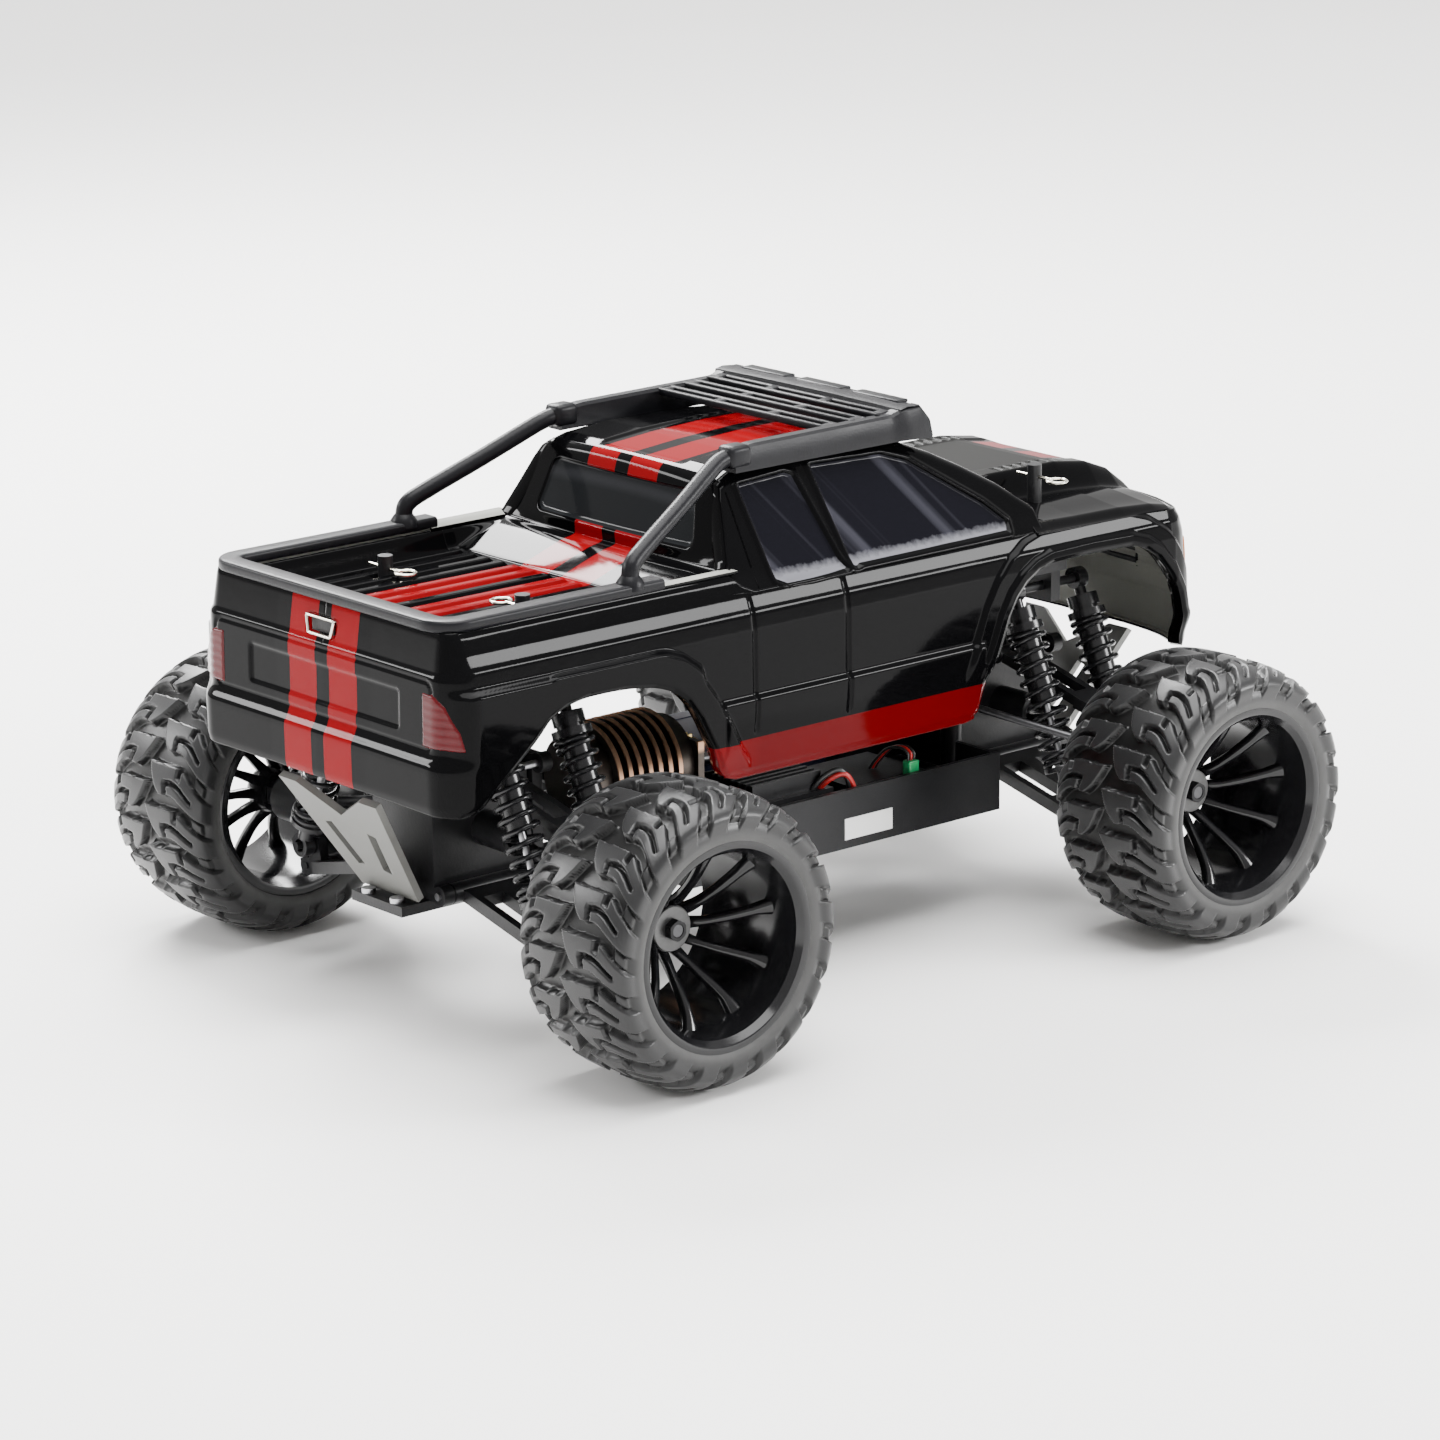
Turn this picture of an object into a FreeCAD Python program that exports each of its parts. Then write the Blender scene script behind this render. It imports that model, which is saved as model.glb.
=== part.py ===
# RC monster truck, 1:10 class: four-wheel-drive chassis, eight shocks, pickup body.
# X points right, Y forwards, Z up; the ground is Z = 0 and Y = 0 lies midway between the axles.
import FreeCAD, Part
import math
import os

import Sketcher

V = FreeCAD.Vector
doc = FreeCAD.newDocument("rc_monster_truck")
sheet = doc.addObject("Spreadsheet::Sheet", "Sizes")

# Driving dimensions in millimetres, degrees and counts.
DRIVING = {
    "wheelbase": 275, "track_half": 132.5,
    "tyre_radius": 57.5, "tyre_width": 59, "carcass_radius": 54, "bead_radius": 38, "lug_count": 20,
    "barrel_thick": 2.1, "rim_width": 56, "spoke_count": 10, "rim_hub_radius": 9,
    "pin_radius": 1.5, "running_gap": 0.05,
    "arm_in_x": 22, "arm_span": 64, "arm_drop": 15, "lower_in_z": 51, "upper_in_z": 95,
    "lower_half": 21.5, "upper_half": 8, "hub_half": 8, "ear_thick": 3,
    "joint_in_x": 33, "cup_radius": 7, "cup_bore": 5, "shaft_radius": 2.6, "ball_radius": 3.8,
    "axle_radius": 3, "carrier_radius": 10, "carrier_bore": 7.6,
    "shock_x": 43, "shock_z": 128, "shock_y": 18, "shock_foot_x": 55.2, "shock_foot_z": 9.9,
    "shock_radius": 5.5, "cylinder_length": 48, "perch_radius": 8, "spring_radius": 7, "wire_radius": 0.7,
    "spring_turns": 9, "standoff_radius": 2,
    "steer_arm": 26, "steer_z": 76, "relay_y": 78, "crank_x": 22,
    "floor_z": 44, "floor_thick": 4, "tub_half": 62, "tub_rear": 72, "tub_front": 94, "tub_height": 24,
    "spine_half": 16, "spine_end": 178,
    "shaft_z": 72.5, "spur_radius": 20.8, "pinion_radius": 6.8, "motor_x": 24, "motor_radius": 17.5,
    "gear_y": -43, "gear_width": 6, "tooth_size": 0.8,
    "wall": 1.6, "rail_z": 170.2, "bed_half": 62,
    "post_x": 43, "front_post_x": 50, "front_post_y": 124, "post_radius": 3,
}

# Outlines as (y, z) or (x, z) points.
OUTLINES = {
    "side": [(-204, 102), (-199, 170), (-58, 170), (-52, 169), (-42, 198), (-30, 205), (0, 208), (36, 208),
             (50, 203), (102, 176), (110, 177.5), (150, 177), (168, 174), (182, 168), (192, 160), (200, 150),
             (204, 131), (203, 100), (66, 90), (-66, 90)],
    "plan": [(-70, -204), (70, -204), (78, -200), (82, -191), (82, 176), (76, 189), (60, 199), (36, 204),
             (-36, 204), (-60, 199), (-76, 189), (-82, 176), (-82, -191), (-78, -200)],
    "section": [(77, 60), (78, 90), (81, 105), (82, 122), (81.5, 140), (79, 157), (74, 167), (67, 177),
                (53, 203), (30, 209), (-30, 209), (-53, 203), (-67, 177), (-74, 167), (-79, 157),
                (-81.5, 140), (-82, 122), (-81, 105), (-78, 90), (-77, 60)],
    "shoulder": [(36, 176.5), (46, 169), (68, 165.5), (78, 160), (95, 158), (95, 220), (36, 220)],
    "other_shoulder": [(-36, 176.5), (-46, 169), (-68, 165.5), (-78, 160), (-95, 158), (-95, 220),
                       (-36, 220)],
    "bed": [(-191, 161), (-86, 161), (-70, 166), (-60, 178), (-47, 200), (-40, 230), (-191, 230)],
    "rear_arch": [(-204, 60), (-193, 99), (-164, 123), (-156, 133), (-142, 137), (-120, 137), (-103, 135.5),
                  (-93, 131), (-85, 120), (-78, 107), (-66, 80), (-66, 60)],
    "front_arch": [(66, 60), (66, 90), (69, 112), (77, 134), (85, 145), (99, 150), (150, 149), (162, 143.5),
                   (175, 128), (180, 108), (186, 94), (186, 60)],
    "rack_rail": [(-43, 206), (-43, 213), (-30, 214.5), (40, 215), (46, 218), (57, 218), (62, 206)],
    "skid": [(-18, 0), (18, 0), (31, 54.4), (20, 54.4), (0, 41.9), (-20, 54.4), (-31, 54.4)],
}

CORNERS = {"front_right": (1, 1), "front_left": (-1, 1), "rear_right": (1, -1), "rear_left": (-1, -1)}
AXES = {"x": V(1, 0, 0), "y": V(0, 1, 0), "z": V(0, 0, 1)}
nodes = {}
row_count = 0


def cell(alias, value):
    global row_count
    row_count += 1
    sheet.set(f"A{row_count}", alias)
    sheet.set(f"B{row_count}", str(value))
    sheet.setAlias(f"B{row_count}", alias)


for alias, value in DRIVING.items():
    cell(alias, value)
for outline, points in OUTLINES.items():
    for number, (first, second) in enumerate(points):
        cell(f"{outline}_first{number}", first)
        cell(f"{outline}_second{number}", second)
doc.recompute()


def size(alias):
    return float(sheet.get(alias))


# Worked-out sizes, shared by the sub-parts.
ARM_TILT = math.degrees(math.atan2(size("arm_drop"), size("arm_span")))
ARM_LENGTH = math.hypot(size("arm_drop"), size("arm_span"))
AXLE_Z = size("tyre_radius")
MOTOR_Z = size("shaft_z") + math.sqrt((size("spur_radius") + size("pinion_radius")) ** 2 - size("motor_x") ** 2)


def bound(text):
    """Put the sheet's name in front of each alias in an expression."""
    text = str(text)
    words = sorted(DRIVING, key=len, reverse=True)
    out = ""
    place = 0
    while place < len(text):
        if text[place].isalpha():
            end = place
            while end < len(text) and (text[end].isalnum() or text[end] == "_"):
                end += 1
            word = text[place:end]
            out += f"Sizes.{word}" if word in words else word
            place = end
        else:
            out += text[place]
            place += 1
    return out


def unique(name):
    return name.replace(" ", "_")


def box(name, centre, spans):
    """A box about its centre; both are expressions in the sheet's aliases."""
    solid = doc.addObject("Part::Box", unique(name))
    for prop, axis, middle, span in zip(("Length", "Width", "Height"), "xyz", centre, spans):
        solid.setExpression(prop, bound(span))
        solid.setExpression(f".Placement.Base.{axis}", bound(f"({middle}) - ({span}) / 2"))
    return solid


def rod(name, axis, centre, radius, length):
    """A round bar about its centre, along x, y or z."""
    solid = doc.addObject("Part::Cylinder", unique(name))
    solid.setExpression("Radius", bound(radius))
    solid.setExpression("Height", bound(length))
    solid.Placement.Rotation = FreeCAD.Rotation(V(0, 0, 1), AXES[axis])
    for letter, middle in zip("xyz", centre):
        shift = f" - ({length}) / 2" if letter == axis else ""
        solid.setExpression(f".Placement.Base.{letter}", bound(f"({middle}){shift}"))
    return solid


def strut(name, start, end, radius):
    """A round bar from one point to another."""
    solid = doc.addObject("Part::Cylinder", unique(name))
    solid.setExpression("Radius", bound(radius))
    solid.Height = (end - start).Length
    solid.Placement = FreeCAD.Placement(start, FreeCAD.Rotation(V(0, 0, 1), end - start))
    return solid


def ball(name, centre, radius):
    solid = doc.addObject("Part::Sphere", unique(name))
    solid.setExpression("Radius", bound(radius))
    for letter, middle in zip("xyz", centre):
        solid.setExpression(f".Placement.Base.{letter}", bound(middle))
    return solid


def hexagon(name, centre, across_flats, length):
    """A hexagonal bar along x."""
    solid = doc.addObject("Part::Prism", unique(name))
    solid.Polygon = 6
    solid.setExpression("Circumradius", bound(f"({across_flats}) / 1.732"))
    solid.setExpression("Height", bound(length))
    solid.Placement.Rotation = FreeCAD.Rotation(V(0, 0, 1), V(1, 0, 0))
    for letter, middle in zip("xyz", centre):
        shift = f" - ({length}) / 2" if letter == "x" else ""
        solid.setExpression(f".Placement.Base.{letter}", bound(f"({middle}){shift}"))
    return solid


def fuse(name, pieces):
    joined = doc.addObject("Part::MultiFuse", unique(name))
    joined.Shapes = pieces
    return joined


def cut(name, base, tools):
    tool = tools[0] if len(tools) == 1 else fuse(f"{name}_tools", tools)
    result = doc.addObject("Part::Cut", unique(name))
    result.Base = base
    result.Tool = tool
    return result


def group(name, pieces):
    """Separate solids that share one node."""
    bundle = doc.addObject("Part::Compound", unique(name))
    bundle.Links = pieces
    return bundle


def keep(label, solid, placement=None):
    """Name a finished sub-part and place it."""
    solid.Label = label
    if placement is not None:
        solid.Placement = placement
    nodes[label] = solid
    return solid


def corner_place(corner, local=None):
    """The frame of one corner: origin over the axle line, x outwards."""
    side, end = CORNERS[corner]
    turn = FreeCAD.Rotation(V(0, 0, 1), 0 if side > 0 else 180)
    place = FreeCAD.Placement(V(0, end * size("wheelbase") / 2, 0), turn)
    return place if local is None else place.multiply(local)


def arm_frame(height):
    """The frame of a suspension arm: origin on the inner pin, x towards the outer pin."""
    return FreeCAD.Placement(V(size("arm_in_x"), 0, height), FreeCAD.Rotation(V(0, 1, 0), ARM_TILT))


def origin_plane(body, role):
    return [item for item in body.Origin.OriginFeatures if item.Role == role][0]


def outline_sketch(body, name, role, corners):
    """A closed outline of straight lines; each corner is a pair of expressions."""
    sketch = body.newObject("Sketcher::SketchObject", unique(name))
    sketch.AttachmentSupport = (origin_plane(body, role), [""])
    sketch.MapMode = "FlatFace"
    doc.recompute()
    starts = [V(first, second, 0) for (first, second), _ in corners]
    for number, start in enumerate(starts):
        sketch.addGeometry(Part.LineSegment(start, starts[(number + 1) % len(starts)]))
    for number in range(len(starts)):
        sketch.addConstraint(Sketcher.Constraint("Coincident", number, 2, (number + 1) % len(starts), 1))
    for number, (_, texts) in enumerate(corners):
        for kind, text, value in zip(("DistanceX", "DistanceY"), texts, (starts[number].x, starts[number].y)):
            index = sketch.addConstraint(Sketcher.Constraint(kind, -1, 1, number, 1, value))
            sketch.setExpression(f"Constraints[{index}]", bound(text))
    return sketch


def outline_corners(outline, inset=0.0, middle=(0.0, 0.0), drop_floor=False):
    """Corners bound to the sheet, moved towards a middle point by an inset."""
    corners = []
    for number, (first, second) in enumerate(OUTLINES[outline]):
        shift = [0.0, 0.0]
        for slot, (value, centre) in enumerate(zip((first, second), middle)):
            if abs(value - centre) > abs(inset):
                shift[slot] = -inset if value > centre else inset
        if drop_floor and second < middle[1]:
            shift[1] = -abs(inset) * 12
        texts = (f"Sizes.{outline}_first{number} + {shift[0]}", f"Sizes.{outline}_second{number} + {shift[1]}")
        corners.append(((first + shift[0], second + shift[1]), texts))
    return corners


def outline_pad(name, role, corners, length):
    """A body padded both ways from an origin plane."""
    body = doc.addObject("PartDesign::Body", unique(name))
    sketch = outline_sketch(body, f"{name}_sketch", role, corners)
    pad = body.newObject("PartDesign::Pad", f"{name}_pad")
    pad.Profile = sketch
    pad.setExpression("Length", bound(length))
    pad.Midplane = True
    body.Tip = pad
    doc.recompute()
    return body


# ---------------------------------------------------------------- wheels

def tyre(corner):
    """Carcass turned about the axle, with two staggered rows of slanted lugs."""
    body = doc.addObject("PartDesign::Body", f"tyre_{corner}_body")
    half = size("tyre_width") / 2
    bead = size("bead_radius")
    crown = size("carcass_radius")
    profile = [
        ((-half + 1.5, bead), ("-tyre_width / 2 + 1.5", "bead_radius")),
        ((half - 1.5, bead), ("tyre_width / 2 - 1.5", "bead_radius")),
        ((half, bead + 8), ("tyre_width / 2", "bead_radius + 8")),
        ((half - 2.5, crown - 2.5), ("tyre_width / 2 - 2.5", "carcass_radius - 2.5")),
        ((half - 9, crown), ("tyre_width / 2 - 9", "carcass_radius")),
        ((9 - half, crown), ("9 - tyre_width / 2", "carcass_radius")),
        ((2.5 - half, crown - 2.5), ("2.5 - tyre_width / 2", "carcass_radius - 2.5")),
        ((-half, bead + 8), ("-tyre_width / 2", "bead_radius + 8")),
    ]
    sketch = outline_sketch(body, f"tyre_{corner}_section", "XY_Plane", profile)
    carcass = body.newObject("PartDesign::Revolution", f"tyre_{corner}_carcass")
    carcass.Profile = sketch
    carcass.ReferenceAxis = (sketch, ["H_Axis"])
    carcass.Angle = 360
    body.Tip = carcass
    doc.recompute()
    for row, side in enumerate((1, -1)):
        lug = [((side * first, second), (str(side * first), str(second)))
               for first, second in ((1.5, -5), (9, -1), (half, 0), (half, 5), (8, 4), (1.5, -0.5))]
        lug_sketch = outline_sketch(body, f"tyre_{corner}_lug{row}", "XY_Plane", lug)
        stagger = FreeCAD.Rotation(V(1, 0, 0), row * 180 / size("lug_count"))
        lug_sketch.AttachmentOffset = FreeCAD.Placement(V(0, 0, 0), stagger)
        pad = body.newObject("PartDesign::Pad", f"tyre_{corner}_lug_pad{row}")
        pad.Profile = lug_sketch
        pad.setExpression("Length", bound("tyre_radius - 0.1"))
        doc.recompute()
        slot = body.newObject("PartDesign::PolarPattern", f"tyre_{corner}_lugs{row}")
        slot.Originals = [pad]
        slot.Axis = (origin_plane(body, "X_Axis"), [""])
        slot.Angle = 360
        slot.setExpression("Occurrences", bound("lug_count"))
        body.Tip = slot
        doc.recompute()
    bore = body.newObject("Sketcher::SketchObject", f"tyre_{corner}_bore")
    bore.AttachmentSupport = (origin_plane(body, "YZ_Plane"), [""])
    bore.MapMode = "FlatFace"
    bore.addGeometry(Part.Circle(V(0, 0, 0), V(0, 0, 1), bead))
    bore.addConstraint(Sketcher.Constraint("Coincident", 0, 3, -1, 1))
    index = bore.addConstraint(Sketcher.Constraint("Radius", 0, bead))
    bore.setExpression(f"Constraints[{index}]", bound("bead_radius"))
    pocket = body.newObject("PartDesign::Pocket", f"tyre_{corner}_opening")
    pocket.Profile = bore
    pocket.Length = 4 * half
    pocket.Midplane = True
    body.Tip = pocket
    doc.recompute()
    keep(f"tyre_{corner}", body, corner_place(corner, FreeCAD.Placement(V(size("track_half"), 0, AXLE_Z),
                                                                      FreeCAD.Rotation())))


def rim(corner):
    """Deep-dish rim with its stub axle, drive cup, wheel hex, washer and nut."""
    name = f"rim_{corner}"
    hub = "track_half - 8.5"
    outer = rod(f"{name}_outer", "x", ("track_half - 1", 0, "tyre_radius"), "bead_radius", "rim_width")
    inner = rod(f"{name}_inner", "x", ("track_half - 1", 0, "tyre_radius"), "bead_radius - barrel_thick",
                "rim_width + 2")
    barrel = cut(f"{name}_barrel", outer, [inner])
    boss = rod(f"{name}_boss", "x", (hub, 0, "tyre_radius"), "rim_hub_radius", 9)
    spokes = []
    for number in range(int(size("spoke_count"))):
        spoke = box(f"{name}_spoke{number}", (0, 0, "(bead_radius + 6) / 2"), (5, 4.5, "bead_radius - 7"))
        turned = doc.addObject("Part::Compound", f"{name}_turned{number}")
        turned.Links = [spoke]
        turned.Placement = FreeCAD.Placement(V(size("track_half") - 9, 0, AXLE_Z),
                                             FreeCAD.Rotation(V(1, 0, 0), 360 * number / size("spoke_count")))
        spokes.append(turned)
    wheel = fuse(f"{name}_wheel", [barrel, boss] + spokes)
    bored = cut(f"{name}_bored", wheel, [rod(f"{name}_bore", "x", (hub, 0, "tyre_radius"), "axle_radius", 12)])
    cup = rod(f"{name}_cup", "x", ("joint_in_x + arm_span + 2.5", 0, "tyre_radius"), "cup_radius", 9)
    bar = rod(f"{name}_bar", "x", ("track_half - 15.25", 0, "tyre_radius"), "axle_radius", 30.5)
    socket = rod(f"{name}_socket", "x", ("joint_in_x + arm_span", 0, "tyre_radius"), "cup_bore", 9)
    axle = cut(f"{name}_axle", fuse(f"{name}_axle_blank", [cup, bar]), [socket])
    hex_hole = rod(f"{name}_hex_hole", "x", ("track_half - 17", 0, "tyre_radius"), "axle_radius", 12)
    hexes = cut(f"{name}_hex", hexagon(f"{name}_hex_blank", ("track_half - 16.5", 0, "tyre_radius"), 12, 7),
                [hex_hole])
    nut_hole = rod(f"{name}_nut_hole", "x", ("track_half", 0, "tyre_radius"), "axle_radius", 12)
    washer = rod(f"{name}_washer", "x", ("track_half - 3.5", 0, "tyre_radius"), "rim_hub_radius - 0.2", 1)
    nut = cut(f"{name}_nut", fuse(f"{name}_nut_blank", [
        hexagon(f"{name}_nut_hex", ("track_half - 1.5", 0, "tyre_radius"), 7.5, 3), washer]), [nut_hole])
    keep(name, group(name, [bored, axle, hexes, nut]), corner_place(corner))


# ---------------------------------------------------------------- suspension

def pin_hole(name, x, z, half):
    return rod(name, "y", (x, 0, z), "pin_radius + running_gap", half)


def lower_arm(corner):
    """Wide arm with its outer pin and the two shock feet."""
    name = f"lower_arm_{corner}"
    barrel = rod(f"{name}_barrel", "y", (0, 0, 0), 4, "2 * lower_half")
    plate = box(f"{name}_plate", (28, 0, 0), (50, "2 * lower_half - 8", 5))
    windows = [box(f"{name}_window{side}", (26, side * 9, 0), (30, 10, 8)) for side in (-1, 1)]
    ears = [box(f"{name}_ear{side}", (ARM_LENGTH - 7.5, f"{side} * (hub_half + 0.4 + ear_thick / 2)", 0),
                (22, "ear_thick", 6.5)) for side in (-1, 1)]
    rims = [rod(f"{name}_rim{side}", "y", (ARM_LENGTH, f"{side} * (hub_half + 0.4 + ear_thick / 2)", 0), 4,
                "ear_thick") for side in (-1, 1)]
    pin = rod(f"{name}_pin", "y", (ARM_LENGTH, 0, 0), "pin_radius", "2 * hub_half + 2 * ear_thick + 2")
    lugs = [box(f"{name}_lug{side}", ("shock_foot_x - 1", f"{side} * 12.5", "shock_foot_z / 2"),
                (8, 4, "shock_foot_z + 4")) for side in (-1, 1)]
    feet = [rod(f"{name}_foot{side}", "y", ("shock_foot_x", f"{side} * (shock_y - 1)", "shock_foot_z"),
                "pin_radius", 10) for side in (-1, 1)]
    solid = fuse(f"{name}_blank", [barrel, plate] + ears + rims + [pin] + lugs + feet)
    holes = [pin_hole(f"{name}_hole", 0, 0, "2 * lower_half + 2")] + windows
    keep(name, cut(f"{name}_cut", solid, holes), corner_place(corner, arm_frame(size("lower_in_z"))))


def upper_arm(corner):
    """Narrow arm between the two shocks, with its outer pin."""
    name = f"upper_arm_{corner}"
    barrel = rod(f"{name}_barrel", "y", (0, 0, 0), 3.5, "2 * upper_half")
    plate = box(f"{name}_plate", (27, 0, 0), (50, "2 * upper_half - 2", 4))
    window = box(f"{name}_window", (26, 0, 0), (34, 7, 6))
    ears = [box(f"{name}_ear{side}", (ARM_LENGTH - 9, f"{side} * (upper_half - 1)", 0), (18, 2, 5))
            for side in (-1, 1)]
    rims = [rod(f"{name}_rim{side}", "y", (ARM_LENGTH, f"{side} * (upper_half - 1)", 0), 3.4, 2)
            for side in (-1, 1)]
    pin = rod(f"{name}_pin", "y", (ARM_LENGTH, 0, 0), "pin_radius", "2 * upper_half + 1")
    solid = fuse(f"{name}_blank", [barrel, plate] + ears + rims + [pin])
    holes = [pin_hole(f"{name}_hole", 0, 0, "2 * upper_half + 2"), window]
    keep(name, cut(f"{name}_cut", solid, holes), corner_place(corner, arm_frame(size("upper_in_z"))))


def outer_barrels(name, half_lower, half_upper):
    """The two barrels of a hub that turn on the arms' outer pins."""
    x = "arm_in_x + arm_span"
    return [rod(f"{name}_low", "y", (x, 0, "lower_in_z - arm_drop"), 3.5, half_lower),
            rod(f"{name}_high", "y", (x, 0, "upper_in_z - arm_drop"), 3.3, half_upper)]


def outer_holes(name):
    x = "arm_in_x + arm_span"
    return [pin_hole(f"{name}_low_hole", x, "lower_in_z - arm_drop", 30),
            pin_hole(f"{name}_high_hole", x, "upper_in_z - arm_drop", 30)]


def carrier(name):
    """The bearing tube round the stub axle, and its bores."""
    tube = rod(f"{name}_tube", "x", (101.5, 0, "tyre_radius"), "carrier_radius", 20)
    bores = [rod(f"{name}_wide", "x", (92.5, 0, "tyre_radius"), "carrier_bore", 24),
             rod(f"{name}_narrow", "x", (108, 0, "tyre_radius"), "axle_radius + running_gap", 12)]
    return tube, bores


def rear_hub(corner):
    name = f"rear_hub_{corner.split('_')[1]}"
    tube, bores = carrier(name)
    x = "arm_in_x + arm_span + 3"
    webs = [box(f"{name}_web_low", (x, 0, "tyre_radius - 14.5"), (8, 11, 13)),
            box(f"{name}_web_high", (x, 0, "tyre_radius + 14.5"), (8, 9, 15))]
    solid = fuse(f"{name}_blank", [tube] + webs + outer_barrels(name, "2 * hub_half", "2 * upper_half - 5"))
    keep(name, cut(f"{name}_cut", solid, bores + outer_holes(name)), corner_place(corner))


def caster_block(corner):
    """C-shaped block that carries the kingpins of the steering knuckle."""
    name = f"caster_block_{corner.split('_')[1]}"
    pin_x = "joint_in_x + arm_span"
    back = box(f"{name}_back", (85, 0, "tyre_radius"), (4, 22, 30))
    webs = [box(f"{name}_web_low", (85.5, 0, "tyre_radius - 18"), (5, 14, 8)),
            box(f"{name}_web_high", (85.5, 0, "tyre_radius + 18"), (5, 10, 8))]
    plates = [box(f"{name}_plate{side}", ("joint_in_x + arm_span - 4", 0, f"tyre_radius + {side} * 13.25"),
                  (20, 12, 3.5)) for side in (-1, 1)]
    kingpins = [rod(f"{name}_kingpin{side}", "z", (pin_x, 0, f"tyre_radius + {side} * 11"), "pin_radius", 6)
                for side in (-1, 1)]
    opening = box(f"{name}_opening", (85, 0, "tyre_radius + 1"), (8, 14, 17))
    solid = fuse(f"{name}_blank", [back] + webs + plates + kingpins
                 + outer_barrels(name, "2 * hub_half", "2 * upper_half - 5"))
    keep(name, cut(f"{name}_cut", solid, [opening] + outer_holes(name)), corner_place(corner))


def knuckle(corner):
    """Steering knuckle with its arm and ball stud behind the axle."""
    name = f"knuckle_{corner.split('_')[1]}"
    side = CORNERS[corner][0]
    tube, bores = carrier(name)
    bosses = rod(f"{name}_boss", "z", ("joint_in_x + arm_span", 0, "tyre_radius"), 3.8, 22)
    arm = box(f"{name}_arm", (99, f"{-side} * (steer_arm / 2 + 6)", "tyre_radius + 5"), (6, "steer_arm - 6", 4))
    stud = rod(f"{name}_stud", "z", ("joint_in_x + arm_span", f"{-side} * steer_arm", "steer_z - 6"), 1.4, 9)
    pad = rod(f"{name}_pad", "z", ("joint_in_x + arm_span", f"{-side} * steer_arm", "tyre_radius + 5"), 4, 4)
    head = ball(f"{name}_head", ("joint_in_x + arm_span", f"{-side} * steer_arm", "steer_z"), 3)
    solid = fuse(f"{name}_blank", [tube, bosses, arm, pad, stud, head])
    pins = rod(f"{name}_pins", "z", ("joint_in_x + arm_span", 0, "tyre_radius"), "pin_radius + running_gap", 30)
    keep(name, cut(f"{name}_cut", solid, bores + [pins]), corner_place(corner))


def shock_line():
    """Top and bottom of a shock in the corner's frame."""
    top = V(size("shock_x"), 0, size("shock_z"))
    foot = arm_frame(size("lower_in_z")).multVec(V(size("shock_foot_x"), 0, size("shock_foot_z")))
    return top, foot


def shock_frame(row):
    """The frame of one shock: origin at its top eye, x down its axis."""
    top, foot = shock_line()
    line = foot - top
    tilt = math.degrees(math.atan2(-line.z, line.x))
    return FreeCAD.Placement(V(top.x, row * size("shock_y"), top.z), FreeCAD.Rotation(V(0, 1, 0), tilt))


def placed(name, solid, placement):
    """A copy of a solid in another frame, for a node of several solids."""
    holder = doc.addObject("Part::Compound", unique(name))
    holder.Links = [solid]
    holder.Placement = placement
    return holder


def shock_bodies(corner):
    """Two oil cylinders with their top eyes, caps and spring collars."""
    name = f"shock_body_{corner}"
    solids = []
    for row in (-1, 1):
        tag = f"{name}_{'rear' if row < 0 else 'front'}"
        eye = rod(f"{tag}_eye", "y", (0, 0, 0), 4.5, 5)
        neck = rod(f"{tag}_neck", "x", (5, 0, 0), 2.4, 6)
        cap = rod(f"{tag}_cap", "x", (10, 0, 0), "shock_radius + 0.9", 5)
        tube = rod(f"{tag}_tube", "x", ("8 + (cylinder_length - 8) / 2", 0, 0), "shock_radius",
                   "cylinder_length - 8")
        collar = rod(f"{tag}_collar", "x", (15.5, 0, 0), "perch_radius", 3)
        hollow = rod(f"{tag}_hollow", "x", ("12 + (cylinder_length - 15) / 2", 0, 0), "shock_radius - 1",
                     "cylinder_length - 15")
        mouth = rod(f"{tag}_mouth", "x", ("cylinder_length", 0, 0), "pin_radius + running_gap", 12)
        pin = rod(f"{tag}_pin", "y", (0, 0, 0), "standoff_radius + running_gap", 8)
        solid = cut(tag, fuse(f"{tag}_blank", [eye, neck, cap, tube, collar]), [hollow, mouth, pin])
        solids.append(placed(f"{tag}_placed", solid, shock_frame(row)))
    keep(name, group(name, solids), corner_place(corner))


def shock_rods(corner):
    """Two piston rods with their pistons, spring perches and lower eyes."""
    name = f"shock_rod_{corner}"
    top, foot = shock_line()
    reach = (foot - top).Length
    solids = []
    for row in (-1, 1):
        tag = f"{name}_{'rear' if row < 0 else 'front'}"
        bar = rod(f"{tag}_bar", "x", ((33 + reach) / 2, 0, 0), "pin_radius", reach - 41)
        piston = rod(f"{tag}_piston", "x", (38, 0, 0), "shock_radius - 1.1", 2)
        perch = rod(f"{tag}_perch", "x", (reach - 12, 0, 0), "perch_radius", 2)
        shank = rod(f"{tag}_shank", "x", (reach - 8, 0, 0), 3.2, 9)
        eye = rod(f"{tag}_eye", "y", (reach, 0, 0), 4.8, 4.5)
        slot = rod(f"{tag}_slot", "y", (reach, 0, 0), "pin_radius + 1.2", 8)
        solid = cut(tag, fuse(f"{tag}_blank", [bar, piston, perch, shank, eye]), [slot])
        solids.append(placed(f"{tag}_placed", solid, shock_frame(row)))
    keep(name, group(name, solids), corner_place(corner))


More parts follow.
